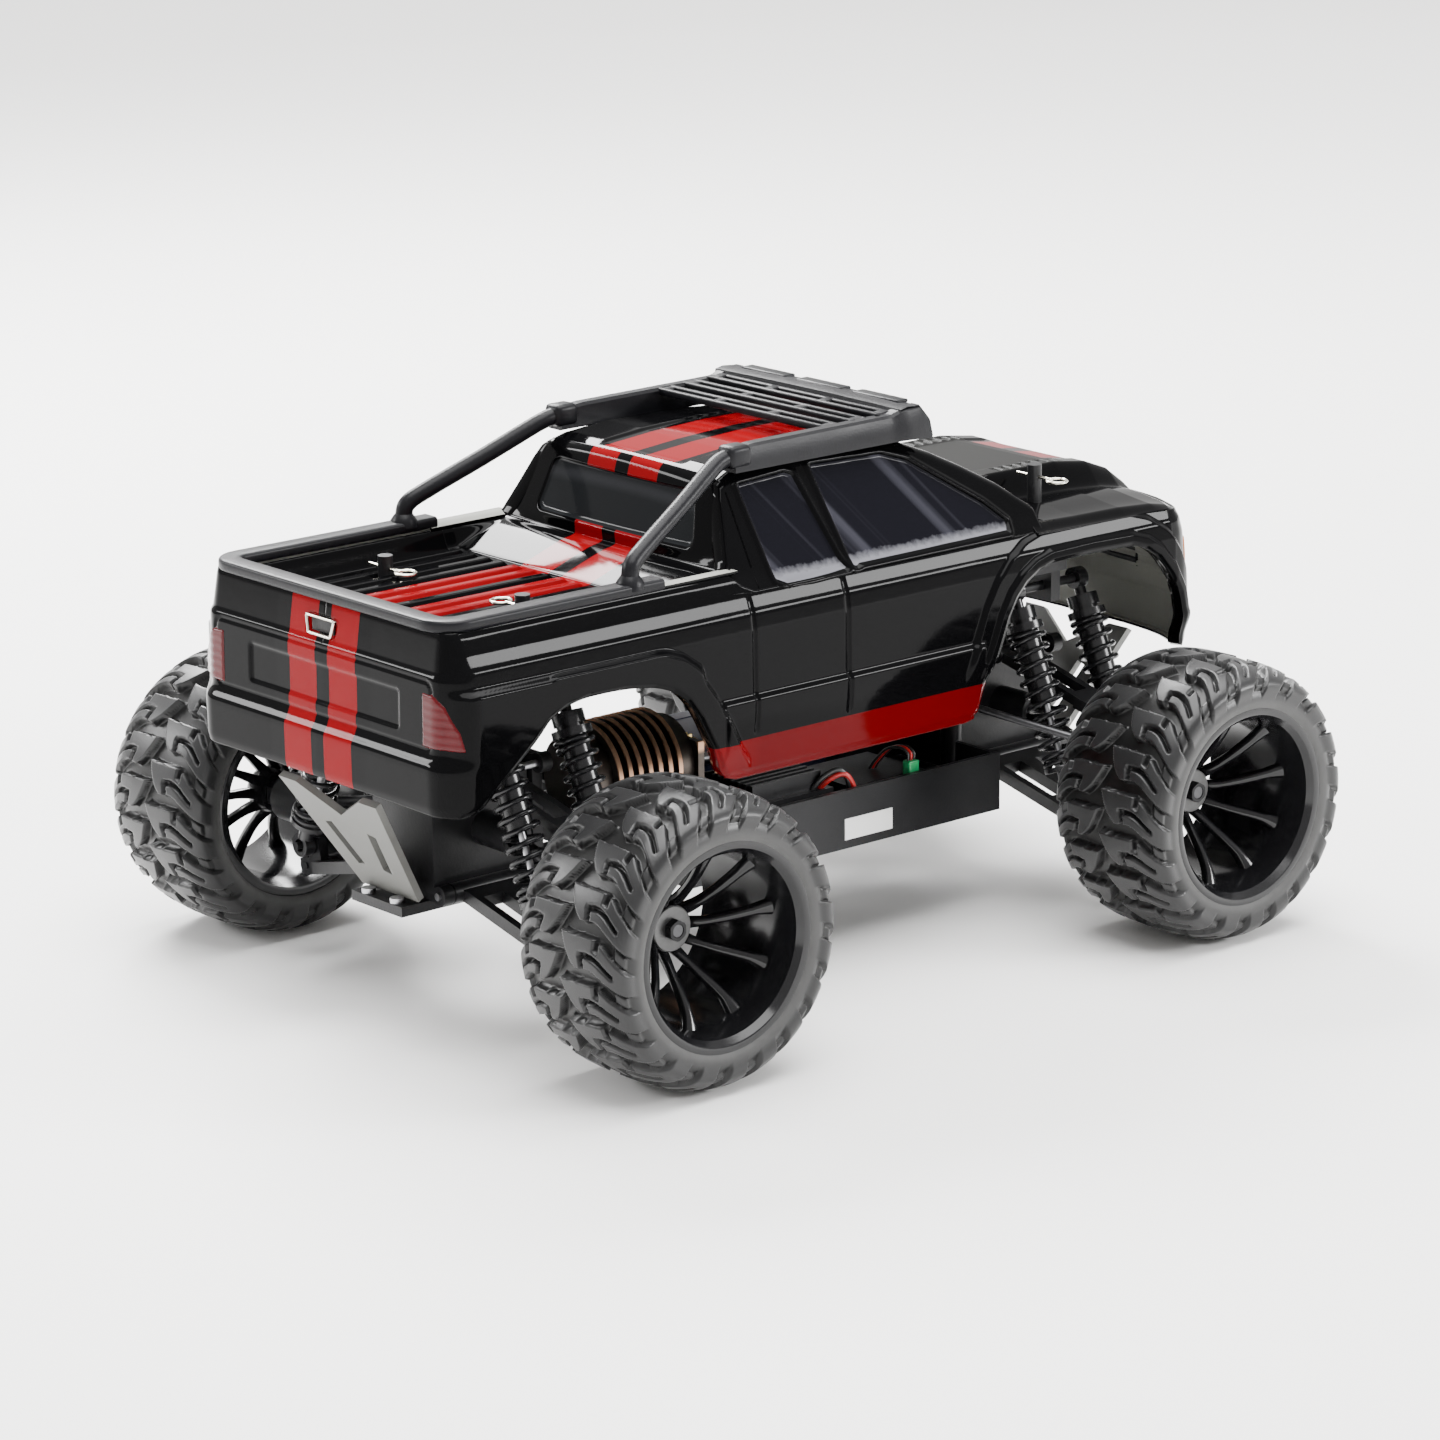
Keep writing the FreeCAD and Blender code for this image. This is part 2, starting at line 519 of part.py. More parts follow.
def shock_springs(corner):
    """Two coil springs between collar and perch, each a round wire on a helix."""
    name = f"shock_spring_{corner}"
    top, foot = shock_line()
    start = 17.0 + size("wire_radius") + 0.1
    end = (foot - top).Length - 13 - size("wire_radius") - 0.1
    helix = Part.makeHelix((end - start) / size("spring_turns"), end - start, size("spring_radius"))
    wire = Part.Wire(helix.Edges)
    ring = Part.Wire(Part.makeCircle(size("wire_radius"), V(size("spring_radius"), 0, 0), V(0, 1, 0)))
    coil = wire.makePipeShell([ring], True, True)
    solids = []
    for row in (-1, 1):
        spring = doc.addObject("Part::Feature", f"{name}_{'rear' if row < 0 else 'front'}")
        spring.Shape = coil
        along = FreeCAD.Placement(V(start, 0, 0), FreeCAD.Rotation(V(0, 0, 1), V(1, 0, 0)))
        spring.Placement = shock_frame(row).multiply(along)
        solids.append(spring)
    keep(name, group(name, solids), corner_place(corner))


def driveshaft(corner):
    """Dogbone shaft with a ball at each end."""
    name = f"driveshaft_{corner}"
    bar = rod(f"{name}_bar", "x", (ARM_LENGTH / 2, 0, 0), "shaft_radius", ARM_LENGTH)
    ends = [ball(f"{name}_ball{number}", (number * ARM_LENGTH, 0, 0), "ball_radius") for number in (0, 1)]
    local = FreeCAD.Placement(V(size("joint_in_x"), 0, AXLE_Z + size("arm_drop")),
                              FreeCAD.Rotation(V(0, 1, 0), ARM_TILT))
    keep(name, fuse(f"{name}_fuse", [bar] + ends), corner_place(corner, local))


def gearbox_housings():
    """Front and rear gearboxes: case, two bulkheads with pin lugs, outdrive cups."""
    solids = []
    for end, tag in ((1, "front"), (-1, "rear")):
        y = f"{end} * wheelbase / 2"
        case = box(f"gearbox_{tag}_case", (0, y, "shaft_z - 1.25"), (34, 42, 46))
        plates = [box(f"gearbox_{tag}_plate{side}", (0, f"{y} + {side} * 24.5", 73), (38, 5, 50))
                  for side in (-1, 1)]
        lugs = []
        for side in (-1, 1):
            for z in ("lower_in_z", "upper_in_z"):
                for x in (-1, 1):
                    lugs.append(rod(f"gearbox_{tag}_lug{len(lugs)}", "y",
                                    (f"{x} * arm_in_x", f"{y} + {side} * 24.5", z), 4, 5))
        cups = [rod(f"gearbox_{tag}_cup{x}", "x", (f"{x} * 26", y, "shaft_z"), "cup_radius", 22) for x in (-1, 1)]
        bores = [rod(f"gearbox_{tag}_bore{x}", "x", (f"{x} * 33", y, "shaft_z"), "cup_bore", 10) for x in (-1, 1)]
        pins = [rod(f"gearbox_{tag}_pins{x}{z}", "y", (f"{x} * arm_in_x", y, z), "pin_radius", 60)
                for x in (-1, 1) for z in ("lower_in_z", "upper_in_z")]
        tail = rod(f"gearbox_{tag}_tail", "y", (0, f"{y} - {end} * 24", "shaft_z"), 2.7, 14)
        solids.append(cut(f"gearbox_{tag}", fuse(f"gearbox_{tag}_blank", [case] + plates + lugs + cups),
                          bores + pins + [tail]))
    keep("gearbox_housings", group("gearbox_housings_group", solids))


def hinge_pins_and_screws():
    """Eight inner hinge pins, and the screws of the towers and the chassis floor."""
    solids = []
    for end in (1, -1):
        y = f"{end} * wheelbase / 2"
        for x in (-1, 1):
            for z in ("lower_in_z", "upper_in_z"):
                solids.append(rod(f"inner_pin{len(solids)}", "y", (f"{x} * arm_in_x", y, z), "pin_radius", 56))
            head = rod(f"tower_screw{len(solids)}", "y", (f"{x} * 9", f"{y} + 3.6", 112), 2.8, 2)
            solids.append(head)
            solids.append(rod(f"floor_screw{len(solids)}", "z", (f"{x} * 9", f"{end} * 175", "floor_z + 5"), 2.8, 2))
    keep("hinge_pins_and_screws", group("pins_group", solids))


def shock_towers():
    """Front and rear towers: plate, foot on the gearbox, and standoffs for the shock eyes."""
    solids = []
    for end, tag in ((1, "front"), (-1, "rear")):
        y = f"{end} * wheelbase / 2"
        plate = box(f"tower_{tag}_plate", (0, y, 115.2), (34, 5, 41.8))
        wing = box(f"tower_{tag}_wing", (0, y, 129), ("2 * shock_x + 12", 5, 14))
        slots = [box(f"tower_{tag}_slot{x}", (f"{x} * 12", y, 118), (8, 8, 12)) for x in (-1, 1)]
        bars = [rod(f"tower_{tag}_bar{x}", "y", (f"{x} * shock_x", y, "shock_z"), "standoff_radius",
                    "2 * shock_y + 8") for x in (-1, 1)]
        solids.append(cut(f"tower_{tag}", fuse(f"tower_{tag}_blank", [plate, wing] + bars), slots))
    keep("shock_towers", group("shock_towers_group", solids))


# ---------------------------------------------------------------- steering

def crank(label, side):
    """Bell crank on a post, with its arm reaching back to the relay rod."""
    x = f"{side} * crank_x"
    y = "relay_y + steer_arm"
    drum = rod(f"{label}_drum", "z", (x, y, 84), 6, 6)
    arm = box(f"{label}_arm", (x, "relay_y + steer_arm / 2", 82.5), (7, "steer_arm", 3))
    tip = rod(f"{label}_tip", "z", (x, "relay_y", 82.5), 4, 3)
    holes = [rod(f"{label}_post_hole", "z", (x, y, 84), "axle_radius + running_gap", 12),
             rod(f"{label}_pin_hole", "z", (x, "relay_y", 84), "pin_radius + running_gap", 12)]
    keep(label, cut(f"{label}_cut", fuse(f"{label}_blank", [drum, arm, tip]), holes))


def relay_rod():
    """Bar that joins the two cranks and carries the ball studs of the tie rods."""
    bar = box("relay_bar", (0, "relay_y", 86), ("2 * joint_in_x + 8", 7, 3))
    pins = [rod(f"relay_pin{x}", "z", (f"{x} * crank_x", "relay_y", 83.5), "pin_radius", 5) for x in (-1, 1)]
    rise = "steer_z + arm_drop"
    heads = [ball(f"relay_ball{x}", (f"{x} * joint_in_x", "relay_y", rise), 3) for x in (-1, 1)]
    stalks = [rod(f"relay_stalk{x}", "z", (f"{x} * joint_in_x", "relay_y", f"{rise} - 3.5"), 1.4, 5)
              for x in (-1, 1)]
    keep("relay_rod", fuse("relay_rod_fuse", [bar] + pins + heads + stalks))


def tie_rod(side):
    """Turnbuckle between the relay rod and a knuckle, with a socket round each ball."""
    label = "tie_rod_right" if side > 0 else "tie_rod_left"
    inner = V(side * size("joint_in_x"), size("relay_y"), size("steer_z") + size("arm_drop"))
    outer = V(side * (size("joint_in_x") + size("arm_span")), size("wheelbase") / 2 - size("steer_arm"),
              size("steer_z"))
    along = (outer - inner).normalize()
    bar = strut(f"{label}_bar", inner + along * 3.5, outer - along * 3.5, 1.6)
    tips = []
    holes = []
    for number, centre in enumerate((inner, outer)):
        place = tuple(str(value) for value in centre)
        tips.append(rod(f"{label}_tip{number}", "z", place, 5, 4))
        holes.append(ball(f"{label}_hollow{number}", place, 3.1))
    keep(label, cut(f"{label}_cut", fuse(f"{label}_blank", [bar] + tips), holes))


def steering_servo():
    """Servo box with its output shaft, and the post of the idler arm."""
    case = box("servo_case", (-22, 90.5, 63), (20, 37, 27))
    flange = box("servo_flange", (-22, 87.75, 69), (20, 43.5, 2.5))
    output = rod("servo_output", "z", ("-crank_x", "relay_y + steer_arm", 82), "axle_radius", 12)
    post = rod("idler_post", "z", ("crank_x", "relay_y + steer_arm", 68), "axle_radius", 40)
    foot = rod("idler_foot", "z", ("crank_x", "relay_y + steer_arm", 63.9), 4.5, 31.8)
    keep("steering_servo", group("steering_servo_group", [
        fuse("servo_fuse", [case, flange, output]), fuse("idler_post_fuse", [post, foot])]))


# ---------------------------------------------------------------- driveline

def gear_wheel(name, centre, radius, teeth, turn):
    """Spur gear along y with straight-flanked teeth, thinned for backlash."""
    pitch = 2 * math.pi / teeth
    module = size("tooth_size")
    points = []
    for number in range(teeth):
        middle = number * pitch + turn
        for reach, share in ((-1.15, -0.30), (1.0, -0.125), (1.0, 0.125), (-1.15, 0.30)):
            angle = middle + share * pitch
            reach_radius = radius + reach * module
            points.append(V(reach_radius * math.cos(angle), 0, reach_radius * math.sin(angle)))
    face = Part.Face(Part.makePolygon(points + points[:1]))
    gear = doc.addObject("Part::Feature", name)
    gear.Shape = face.extrude(V(0, size("gear_width"), 0))
    gear.Placement = FreeCAD.Placement(centre, FreeCAD.Rotation())
    return gear


def center_drive():
    """Centre shaft with the spur gear and an end dog at each gearbox."""
    spur_teeth = round(2 * size("spur_radius") / size("tooth_size"))
    low = size("gear_y") - size("gear_width") / 2
    gear = gear_wheel("spur_gear", V(0, low, size("shaft_z")), size("spur_radius"), spur_teeth, 0.0)
    bar = rod("center_bar", "y", (0, 0, "shaft_z"), 2.5, 228)
    hub = rod("spur_hub", "y", (0, "gear_y", "shaft_z"), 6, 14)
    keep("center_drive", fuse("center_drive_fuse", [gear, bar, hub]))


def motor_pinion():
    teeth = round(2 * size("pinion_radius") / size("tooth_size"))
    low = size("gear_y") - size("gear_width") / 2
    towards = math.atan2(size("shaft_z") - MOTOR_Z, -size("motor_x"))
    spur_teeth = round(2 * size("spur_radius") / size("tooth_size"))
    spur_pitch = 2 * math.pi / spur_teeth
    facing = (towards + math.pi) % spur_pitch / spur_pitch
    turn = towards + (0.5 + facing) * 2 * math.pi / teeth
    gear = gear_wheel("pinion_gear", V(size("motor_x"), low, MOTOR_Z), size("pinion_radius"), teeth, turn)
    bore = rod("pinion_bore", "y", ("motor_x", "gear_y", MOTOR_Z), "pin_radius + running_gap", 20)
    collar = rod("pinion_collar", "y", ("motor_x", "gear_y + 5", MOTOR_Z), 4.4, 4)
    keep("motor_pinion", cut("motor_pinion_cut", fuse("motor_pinion_fuse", [gear, collar]), [bore]))


def motor():
    """Motor can with its shaft, mount plate and a finned heat sink."""
    can = rod("motor_can", "y", ("motor_x", -76, MOTOR_Z), "motor_radius", 48)
    shaft = rod("motor_shaft", "y", ("motor_x", -45, MOTOR_Z), "pin_radius", 20)
    mount = box("motor_mount", ("motor_x + 4", -50.5, 72), (32, 3, 47.9))
    fins = [rod(f"motor_fin{number}", "y", ("motor_x", -62 - 5 * number, MOTOR_Z), "motor_radius + 4", 2)
            for number in range(7)]
    keep("motor", fuse("motor_fuse", [can, shaft, mount] + fins))


# ---------------------------------------------------------------- chassis and electrics

def chassis_tub():
    """Tub with low walls, narrow spines under the gearboxes and an open front."""
    middle = "(tub_front - tub_rear) / 2"
    outer = box("tub_outer", (0, middle, "floor_z + tub_height / 2"),
                ("2 * tub_half", "tub_front + tub_rear", "tub_height"))
    inner = box("tub_inner", (0, middle, "floor_z + floor_thick + tub_height / 2"),
                ("2 * tub_half - 5", "tub_front + tub_rear - 5", "tub_height"))
    gate = box("tub_gate", (0, "tub_front", "floor_z + floor_thick + tub_height / 2"), (76, 10, "tub_height"))
    apron = box("tub_apron", (0, "tub_front + 6", "floor_z + floor_thick / 2"), (76, 20, "floor_thick"))
    spine = box("tub_spine", (0, 0, "floor_z + floor_thick / 2"), ("2 * spine_half", "2 * spine_end", "floor_thick"))
    notch = box("tub_notch", ("motor_x", "-tub_rear", "floor_z + tub_height"), (48, 8, 10))
    blank = fuse("tub_blank", [outer, spine, apron])
    keep("chassis_tub", cut("tub_cut", blank, [inner, gate, notch]))


def battery_pack():
    pack = box("battery_case", (-35, 15, 61), (45, 100, 25.8))
    keep("battery_pack", cut("battery_cut", pack, [box("battery_label", (-35, 15, 74.5), (30, 80, 2))]))


def electronics():
    """Speed controller with cooling fins, and the receiver box ahead of it."""
    case = box("controller_case", (36, -12, 58), (36, 44, 19.8))
    fins = [box(f"controller_fin{number}", (f"22 + {number} * 4", -12, 71), (1.6, 36, 8)) for number in range(8)]
    receiver = box("receiver_case", (36, 40, 57), (34, 40, 17.8))
    keep("electronics", group("electronics_group", [fuse("controller_fuse", [case] + fins), receiver]))


def skid(label, end, top_shift):
    """Sloping plate bolted to the end of the chassis spine."""
    corners = outline_corners("skid")
    plate = outline_pad(f"{label}_plate", "XY_Plane", corners, 3)
    slots = []
    for side in (-1, 1):
        slot = box(f"{label}_slot{side}", (0, 0, 0), (5, 22, 10))
        slots.append(placed(f"{label}_slot_placed{side}", slot,
                            FreeCAD.Placement(V(side * 11, 24, 0), FreeCAD.Rotation(V(0, 0, 1), -side * 14))))
    lean = math.degrees(math.atan2(46, 29))
    turn = FreeCAD.Rotation(V(0, 0, 1), 0 if end > 0 else 180).multiply(FreeCAD.Rotation(V(1, 0, 0), lean))
    place = FreeCAD.Placement(V(0, end * (size("spine_end") - 8 + top_shift), size("floor_z") + 6), turn)
    keep(label, cut(f"{label}_cut", plate, slots), place)


# ---------------------------------------------------------------- body

def body_solid(name, inset):
    """The outer form of the body, or with an inset the hollow inside it."""
    side = outline_corners("side", inset, (0.0, 120.0), inset > 0)
    section = outline_corners("section", inset, (0.0, 100.0), inset > 0)
    profile = outline_pad(f"{name}_profile", "YZ_Plane", side, "2 * 90")
    across = outline_pad(f"{name}_across", "XZ_Plane", section, "2 * 215")
    plan = outline_pad(f"{name}_plan", "XY_Plane", outline_corners("plan", inset, (0.0, 0.0)), "2 * 230")
    common = doc.addObject("Part::MultiCommon", f"{name}_form")
    common.Shapes = [profile, across, plan]
    shoulders = []
    for number, outline in enumerate(("shoulder", "other_shoulder")):
        prism = outline_pad(f"{name}_{outline}", "XZ_Plane", outline_corners(outline), 120)
        slide = FreeCAD.Placement(V(0, 161 - inset, -inset), FreeCAD.Rotation())
        shoulders.append(placed(f"{name}_shoulder{number}", prism, slide))
    return cut(f"{name}_shaped", common, shoulders)


def body_shell():
    """Thin pickup body: cab, hood, bed recess, wheel arches and the post holes."""
    wall = size("wall")
    bed = outline_pad("bed_recess", "YZ_Plane", outline_corners("bed"), "2 * bed_half")
    bed_skin = outline_pad("bed_skin", "YZ_Plane", outline_corners("bed", -wall, (-120.0, 190.0)),
                           "2 * bed_half + 2 * wall")
    outside = cut("shell_outside", body_solid("outer", 0.0), [bed])
    inside = cut("shell_inside", body_solid("inner", wall), [bed_skin])
    arches = [outline_pad(f"{end}_arch_cut", "YZ_Plane", outline_corners(f"{end}_arch"), "2 * 100")
              for end in ("rear", "front")]
    holes = []
    for x in (-1, 1):
        holes.append(rod(f"rear_post_hole{x}", "z", (f"{x} * post_x", "-wheelbase / 2", 150), "post_radius + 0.5", 80))
        holes.append(rod(f"front_post_hole{x}", "z", (f"{x} * front_post_x", "front_post_y", 180),
                         "post_radius + 0.5", 80))
    keep("body_shell", cut("shell_cut", cut("shell_hollow", outside, [inside]), arches + holes))


def roof_rack():
    """Two side rails, a front block and two slats."""
    rails = []
    for side in (-1, 1):
        rail = outline_pad(f"rack_rail{side}", "YZ_Plane", outline_corners("rack_rail"), 8)
        rails.append(placed(f"rack_rail_placed{side}", rail, FreeCAD.Placement(V(side * 53, 0, 0),
                                                                            FreeCAD.Rotation())))
    block = box("rack_block", (0, 50, 214), (100, 14, 8))
    slats = [box(f"rack_slat{number}", (0, f"12 + {number} * 13", 213.5), (100, 7, 3)) for number in (0, 1)]
    keep("roof_rack", fuse("roof_rack_fuse", rails + [block] + slats))


def bed_rail():
    """Trim round the top of the bed, with a roll bar tube on each side."""
    z = "rail_z + 2"
    tail = box("rail_tail", (0, -196, z), (150, 9, 4))
    pieces = [tail]
    for side in (-1, 1):
        pieces.append(box(f"rail_side{side}", (f"{side} * 70.5", -149, z), (9, 100, 4)))
        foot = V(side * 70.5, -106, 174)
        bend = V(side * 53, -47, 209.5)
        end = V(side * 53, -43.8, 210)
        pieces.append(strut(f"roll_bar{side}", foot, bend, 3.5))
        pieces.append(ball(f"roll_bend{side}", tuple(str(value) for value in bend), 3.5))
        pieces.append(strut(f"roll_end{side}", bend, end, 3.5))
    keep("bed_rail", fuse("bed_rail_fuse", pieces))


def body_posts():
    """Four posts on the shock towers, with a collar under the body and a clip hole."""
    solids = []
    for x in (-1, 1):
        for tag, place_x, y, low, high, rest in (("rear", "post_x", "-wheelbase / 2", 136.2, 170, 156),
                                                 ("front", "front_post_x", "front_post_y", 136.2, 182, 150)):
            name = f"{tag}_post{x}"
            at = (f"{x} * {place_x}", y)
            post = rod(f"{name}_post", "z", (*at, (low + high) / 2), "post_radius", high - low)
            collar = rod(f"{name}_collar", "z", (*at, rest), 6, 2)
            pieces = [post, collar]
            if tag == "front":
                pieces.append(box(f"{name}_bracket", (at[0], "front_post_y + 6", 138.2), (8, 18, 4)))
            hole = rod(f"{name}_clip_hole", "x", (*at, high - 5), 0.8, 20)
            solids.append(cut(name, fuse(f"{name}_blank", pieces), [hole]))
    keep("body_posts", group("body_posts_group", solids))


def body_clips():
    """Spring-wire clips through the post heads: a straight leg and a ring."""
    solids = []
    for x in (-1, 1):
        for tag, place_x, y, z, ring_out in (("rear", "post_x", "-wheelbase / 2", 165, -13),
                                             ("front", "front_post_x", "front_post_y", 177, 13)):
            name = f"{tag}_clip{x}"
            leg = rod(f"{name}_leg", "x", (f"{x} * {place_x}", y, z), 0.7, 20)
            ring = doc.addObject("Part::Torus", f"{name}_ring")
            ring.Radius1 = 4
            ring.Radius2 = 0.7
            ring.setExpression(".Placement.Base.x", bound(f"{x} * {place_x} + {x} * {ring_out}"))
            ring.setExpression(".Placement.Base.y", bound(y))
            ring.setExpression(".Placement.Base.z", bound(z))
            solids.append(fuse(name, [leg, ring]))
    keep("body_clips", group("body_clips_group", solids))


for corner in CORNERS:
    tyre(corner)
    rim(corner)
    lower_arm(corner)
    upper_arm(corner)
    shock_bodies(corner)
    shock_rods(corner)
    shock_springs(corner)
    driveshaft(corner)
    if corner.startswith("rear"):
        rear_hub(corner)
    else:
        caster_block(corner)
        knuckle(corner)
crank("servo_saver", -1)
crank("idler_arm", 1)
relay_rod()
tie_rod(1)
tie_rod(-1)
steering_servo()
center_drive()
motor_pinion()
motor()
gearbox_housings()
hinge_pins_and_screws()
shock_towers()
chassis_tub()
battery_pack()
electronics()
skid("rear_skid_plate", -1, 0)
skid("front_bumper", 1, 0)
body_shell()
roof_rack()
bed_rail()
body_posts()
body_clips()
doc.recompute()

os.makedirs("parts", exist_ok=True)
for item in doc.Objects:
    if "Invalid" in item.State or "Error" in item.State:
        raise RuntimeError(f"{item.Label} failed: {item.State}")
for label, item in nodes.items():
    if item.Shape.isNull() or not item.Shape.isValid() or not item.Shape.Solids:
        raise RuntimeError(f"{label} has no valid solid")
for label, item in nodes.items():
    item.Shape.exportStep(f"parts/{label}.step")
    corner_box = item.Shape.BoundBox
    print(label, len(item.Shape.Solids), round(item.Shape.Volume), corner_box)
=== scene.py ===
# RC monster truck: painted pickup shell, treaded tyres, spoked rims, springs and trim on the CAD frame.
import math

import bpy
import numpy as np
from mathutils import Matrix, Vector


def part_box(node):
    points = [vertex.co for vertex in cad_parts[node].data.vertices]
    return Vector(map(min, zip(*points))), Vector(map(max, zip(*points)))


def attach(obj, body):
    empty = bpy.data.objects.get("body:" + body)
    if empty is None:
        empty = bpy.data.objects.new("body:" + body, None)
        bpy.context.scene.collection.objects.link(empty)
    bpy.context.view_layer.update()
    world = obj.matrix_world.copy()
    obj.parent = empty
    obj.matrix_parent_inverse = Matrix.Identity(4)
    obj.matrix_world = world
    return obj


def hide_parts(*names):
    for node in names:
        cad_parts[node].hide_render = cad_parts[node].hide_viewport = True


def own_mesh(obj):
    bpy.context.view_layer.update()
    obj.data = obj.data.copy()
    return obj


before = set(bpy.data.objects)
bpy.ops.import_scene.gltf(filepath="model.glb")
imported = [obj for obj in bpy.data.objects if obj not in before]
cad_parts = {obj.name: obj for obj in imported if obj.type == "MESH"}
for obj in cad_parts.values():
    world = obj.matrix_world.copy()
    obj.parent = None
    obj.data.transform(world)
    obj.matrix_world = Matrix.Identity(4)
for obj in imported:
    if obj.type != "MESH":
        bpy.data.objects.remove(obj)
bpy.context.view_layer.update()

MM = 0.001
MOTOR_Z = 86.13     # height of the motor's shaft
AXLE_Y = 137.5      # distance of each axle from the truck's middle
CORNERS = {"front_right": (1, 1), "front_left": (-1, 1), "rear_right": (1, -1), "rear_left": (-1, -1)}


# ---------------------------------------------------------------- mesh helpers

def smoothstep(low, high, value):
    """0 below low, 1 above high, eased between them."""
    part = np.clip((np.asarray(value, float) - low) / (high - low), 0.0, 1.0)
    return part * part * (3.0 - 2.0 * part)


def falloff(low, high, value):
    """1 below low, 0 above high, eased between them."""
    return 1.0 - smoothstep(low, high, value)


def between(rise, fall, value):
    """1 between an eased rise and an eased fall, each a (low, high) pair."""
    return smoothstep(*rise, value) * falloff(*fall, value)


def through(at, *points):
    """The line through (place, value) points, read off at a place."""
    return np.interp(at, *np.transpose(points))


def rounded_profile(profile, at, reach):
    """A line through (place, value) points with its corners eased over a short reach."""
    return sum(through(at + shift * reach, *profile) for shift in (-1.0, -0.5, 0.0, 0.5, 1.0)) / 5.0


def xyz(x, y, z):
    """Points from three coordinates whose shapes fit together."""
    return np.stack(np.broadcast_arrays(x, y, z), axis=-1)


def unit(vectors):
    """Vectors scaled to length 1."""
    return vectors / np.linalg.norm(vectors, axis=-1, keepdims=True)


def running_length(line):
    """Distance along a line at each of its points."""
    return np.concatenate([[0], np.cumsum(np.linalg.norm(np.diff(line, axis=0), axis=1))])


def mesh_object(name, points, faces, material, smooth=True):
    """A mesh from points in millimetres and quad or polygon faces."""
    mesh = bpy.data.meshes.new(name)
    mesh.from_pydata((np.asarray(points, float) * MM).tolist(), [], [tuple(face) for face in faces])
    mesh.validate()
    mesh.update()
    item = bpy.data.objects.new(name, mesh)
    bpy.context.scene.collection.objects.link(item)
    mesh.materials.append(material)
    mesh.polygons.foreach_set("use_smooth", [smooth] * len(mesh.polygons))
    return item


def grid_faces(rows, columns, wrap_rows=False, wrap_columns=False, flip=False):
    """Quads of a grid of points, counted row by row, as lists of point numbers."""
    down = rows if wrap_rows else rows - 1
    across = columns if wrap_columns else columns - 1
    row, column = np.meshgrid(np.arange(down), np.arange(across), indexing="ij")
    next_row = (row + 1) % rows
    next_column = (column + 1) % columns
    quads = np.stack([row * columns + column, row * columns + next_column,
                      next_row * columns + next_column, next_row * columns + column], axis=-1).reshape(-1, 4)
    return (quads[:, ::-1] if flip else quads).tolist()


def grid_object(name, points, material, wrap_rows=False, wrap_columns=False, flip=False):
    """A sheet or ring of quads through a (rows, columns, 3) grid of points."""
    faces = grid_faces(*points.shape[:2], wrap_rows, wrap_columns, flip)
    return mesh_object(name, points.reshape(-1, 3), faces, material)


def chosen(items):
    """Select these objects only, the first one active."""
    bpy.ops.object.select_all(action="DESELECT")
    for item in items:
        item.select_set(True)
    bpy.context.view_layer.objects.active = items[0]


def joined(name, items):
    """One object from several."""
    chosen(items)
    if len(items) > 1:
        bpy.ops.object.join()
    items[0].name = name
    items[0].data.name = name
    return items[0]


def applied(item):
    """Apply the modifiers of an object."""
    chosen([item])
    bpy.ops.object.convert(target="MESH")
    return item


def thickened(item, thickness, inside=None):
    """Give a sheet its thickness inwards, with its own material on the inner face."""
    shell = item.modifiers.new("wall", "SOLIDIFY")
    shell.thickness = thickness * MM
    shell.offset = -1.0
    if inside:
        item.data.materials.append(inside)
        shell.material_offset = len(item.data.materials) - 1
    return applied(item)


def welded(item, distance):
    """Join the points of neighbouring sheets that lie within a distance of each other."""
    weld = item.modifiers.new("weld", "WELD")
    weld.merge_threshold = distance * MM
    return applied(item)


def bevelled_box(name, centre, spans, radius, material, turn=None):
    """A box with rounded edges; the turn is a rotation matrix about its centre."""
    half = np.asarray(spans, float) / 2
    corners = [(x * half[0], y * half[1], z * half[2]) for x in (-1, 1) for y in (-1, 1) for z in (-1, 1)]
    faces = [(0, 1, 3, 2), (4, 6, 7, 5), (0, 4, 5, 1), (2, 3, 7, 6), (0, 2, 6, 4), (1, 5, 7, 3)]
    item = mesh_object(name, corners, faces, material)
    place = Matrix.Translation(Vector(centre) * MM)
    item.data.transform(place @ turn.to_4x4() if turn is not None else place)
    bevel = item.modifiers.new("edges", "BEVEL")
    bevel.width = radius * MM
    bevel.segments = 3
    bevel.limit_method = "ANGLE"
    applied(item)
    item.data.polygons.foreach_set("use_smooth", [True] * len(item.data.polygons))
    return sharpened(item)


def sharpened(item, angle=35):
    """Keep hard edges hard under smooth shading."""
    item.data.set_sharp_from_angle(angle=math.radians(angle))
    return item


def turned(name, profile, material, centre, axis="x", steps=96, closed=True):
    """A surface of revolution; the profile is a list of (along, radius)."""
    profile = np.asarray(profile, float)
    angles = np.linspace(0, 2 * math.pi, steps, endpoint=False)[:, None]
    along, radius = profile.T
    across, up = radius * np.cos(angles), radius * np.sin(angles)
    points = xyz(along, across, up) if axis == "x" else xyz(across, up, along)
    points = points + np.asarray(centre, float)
    return sharpened(grid_object(name, points, material, wrap_rows=True, wrap_columns=closed, flip=True), 30)


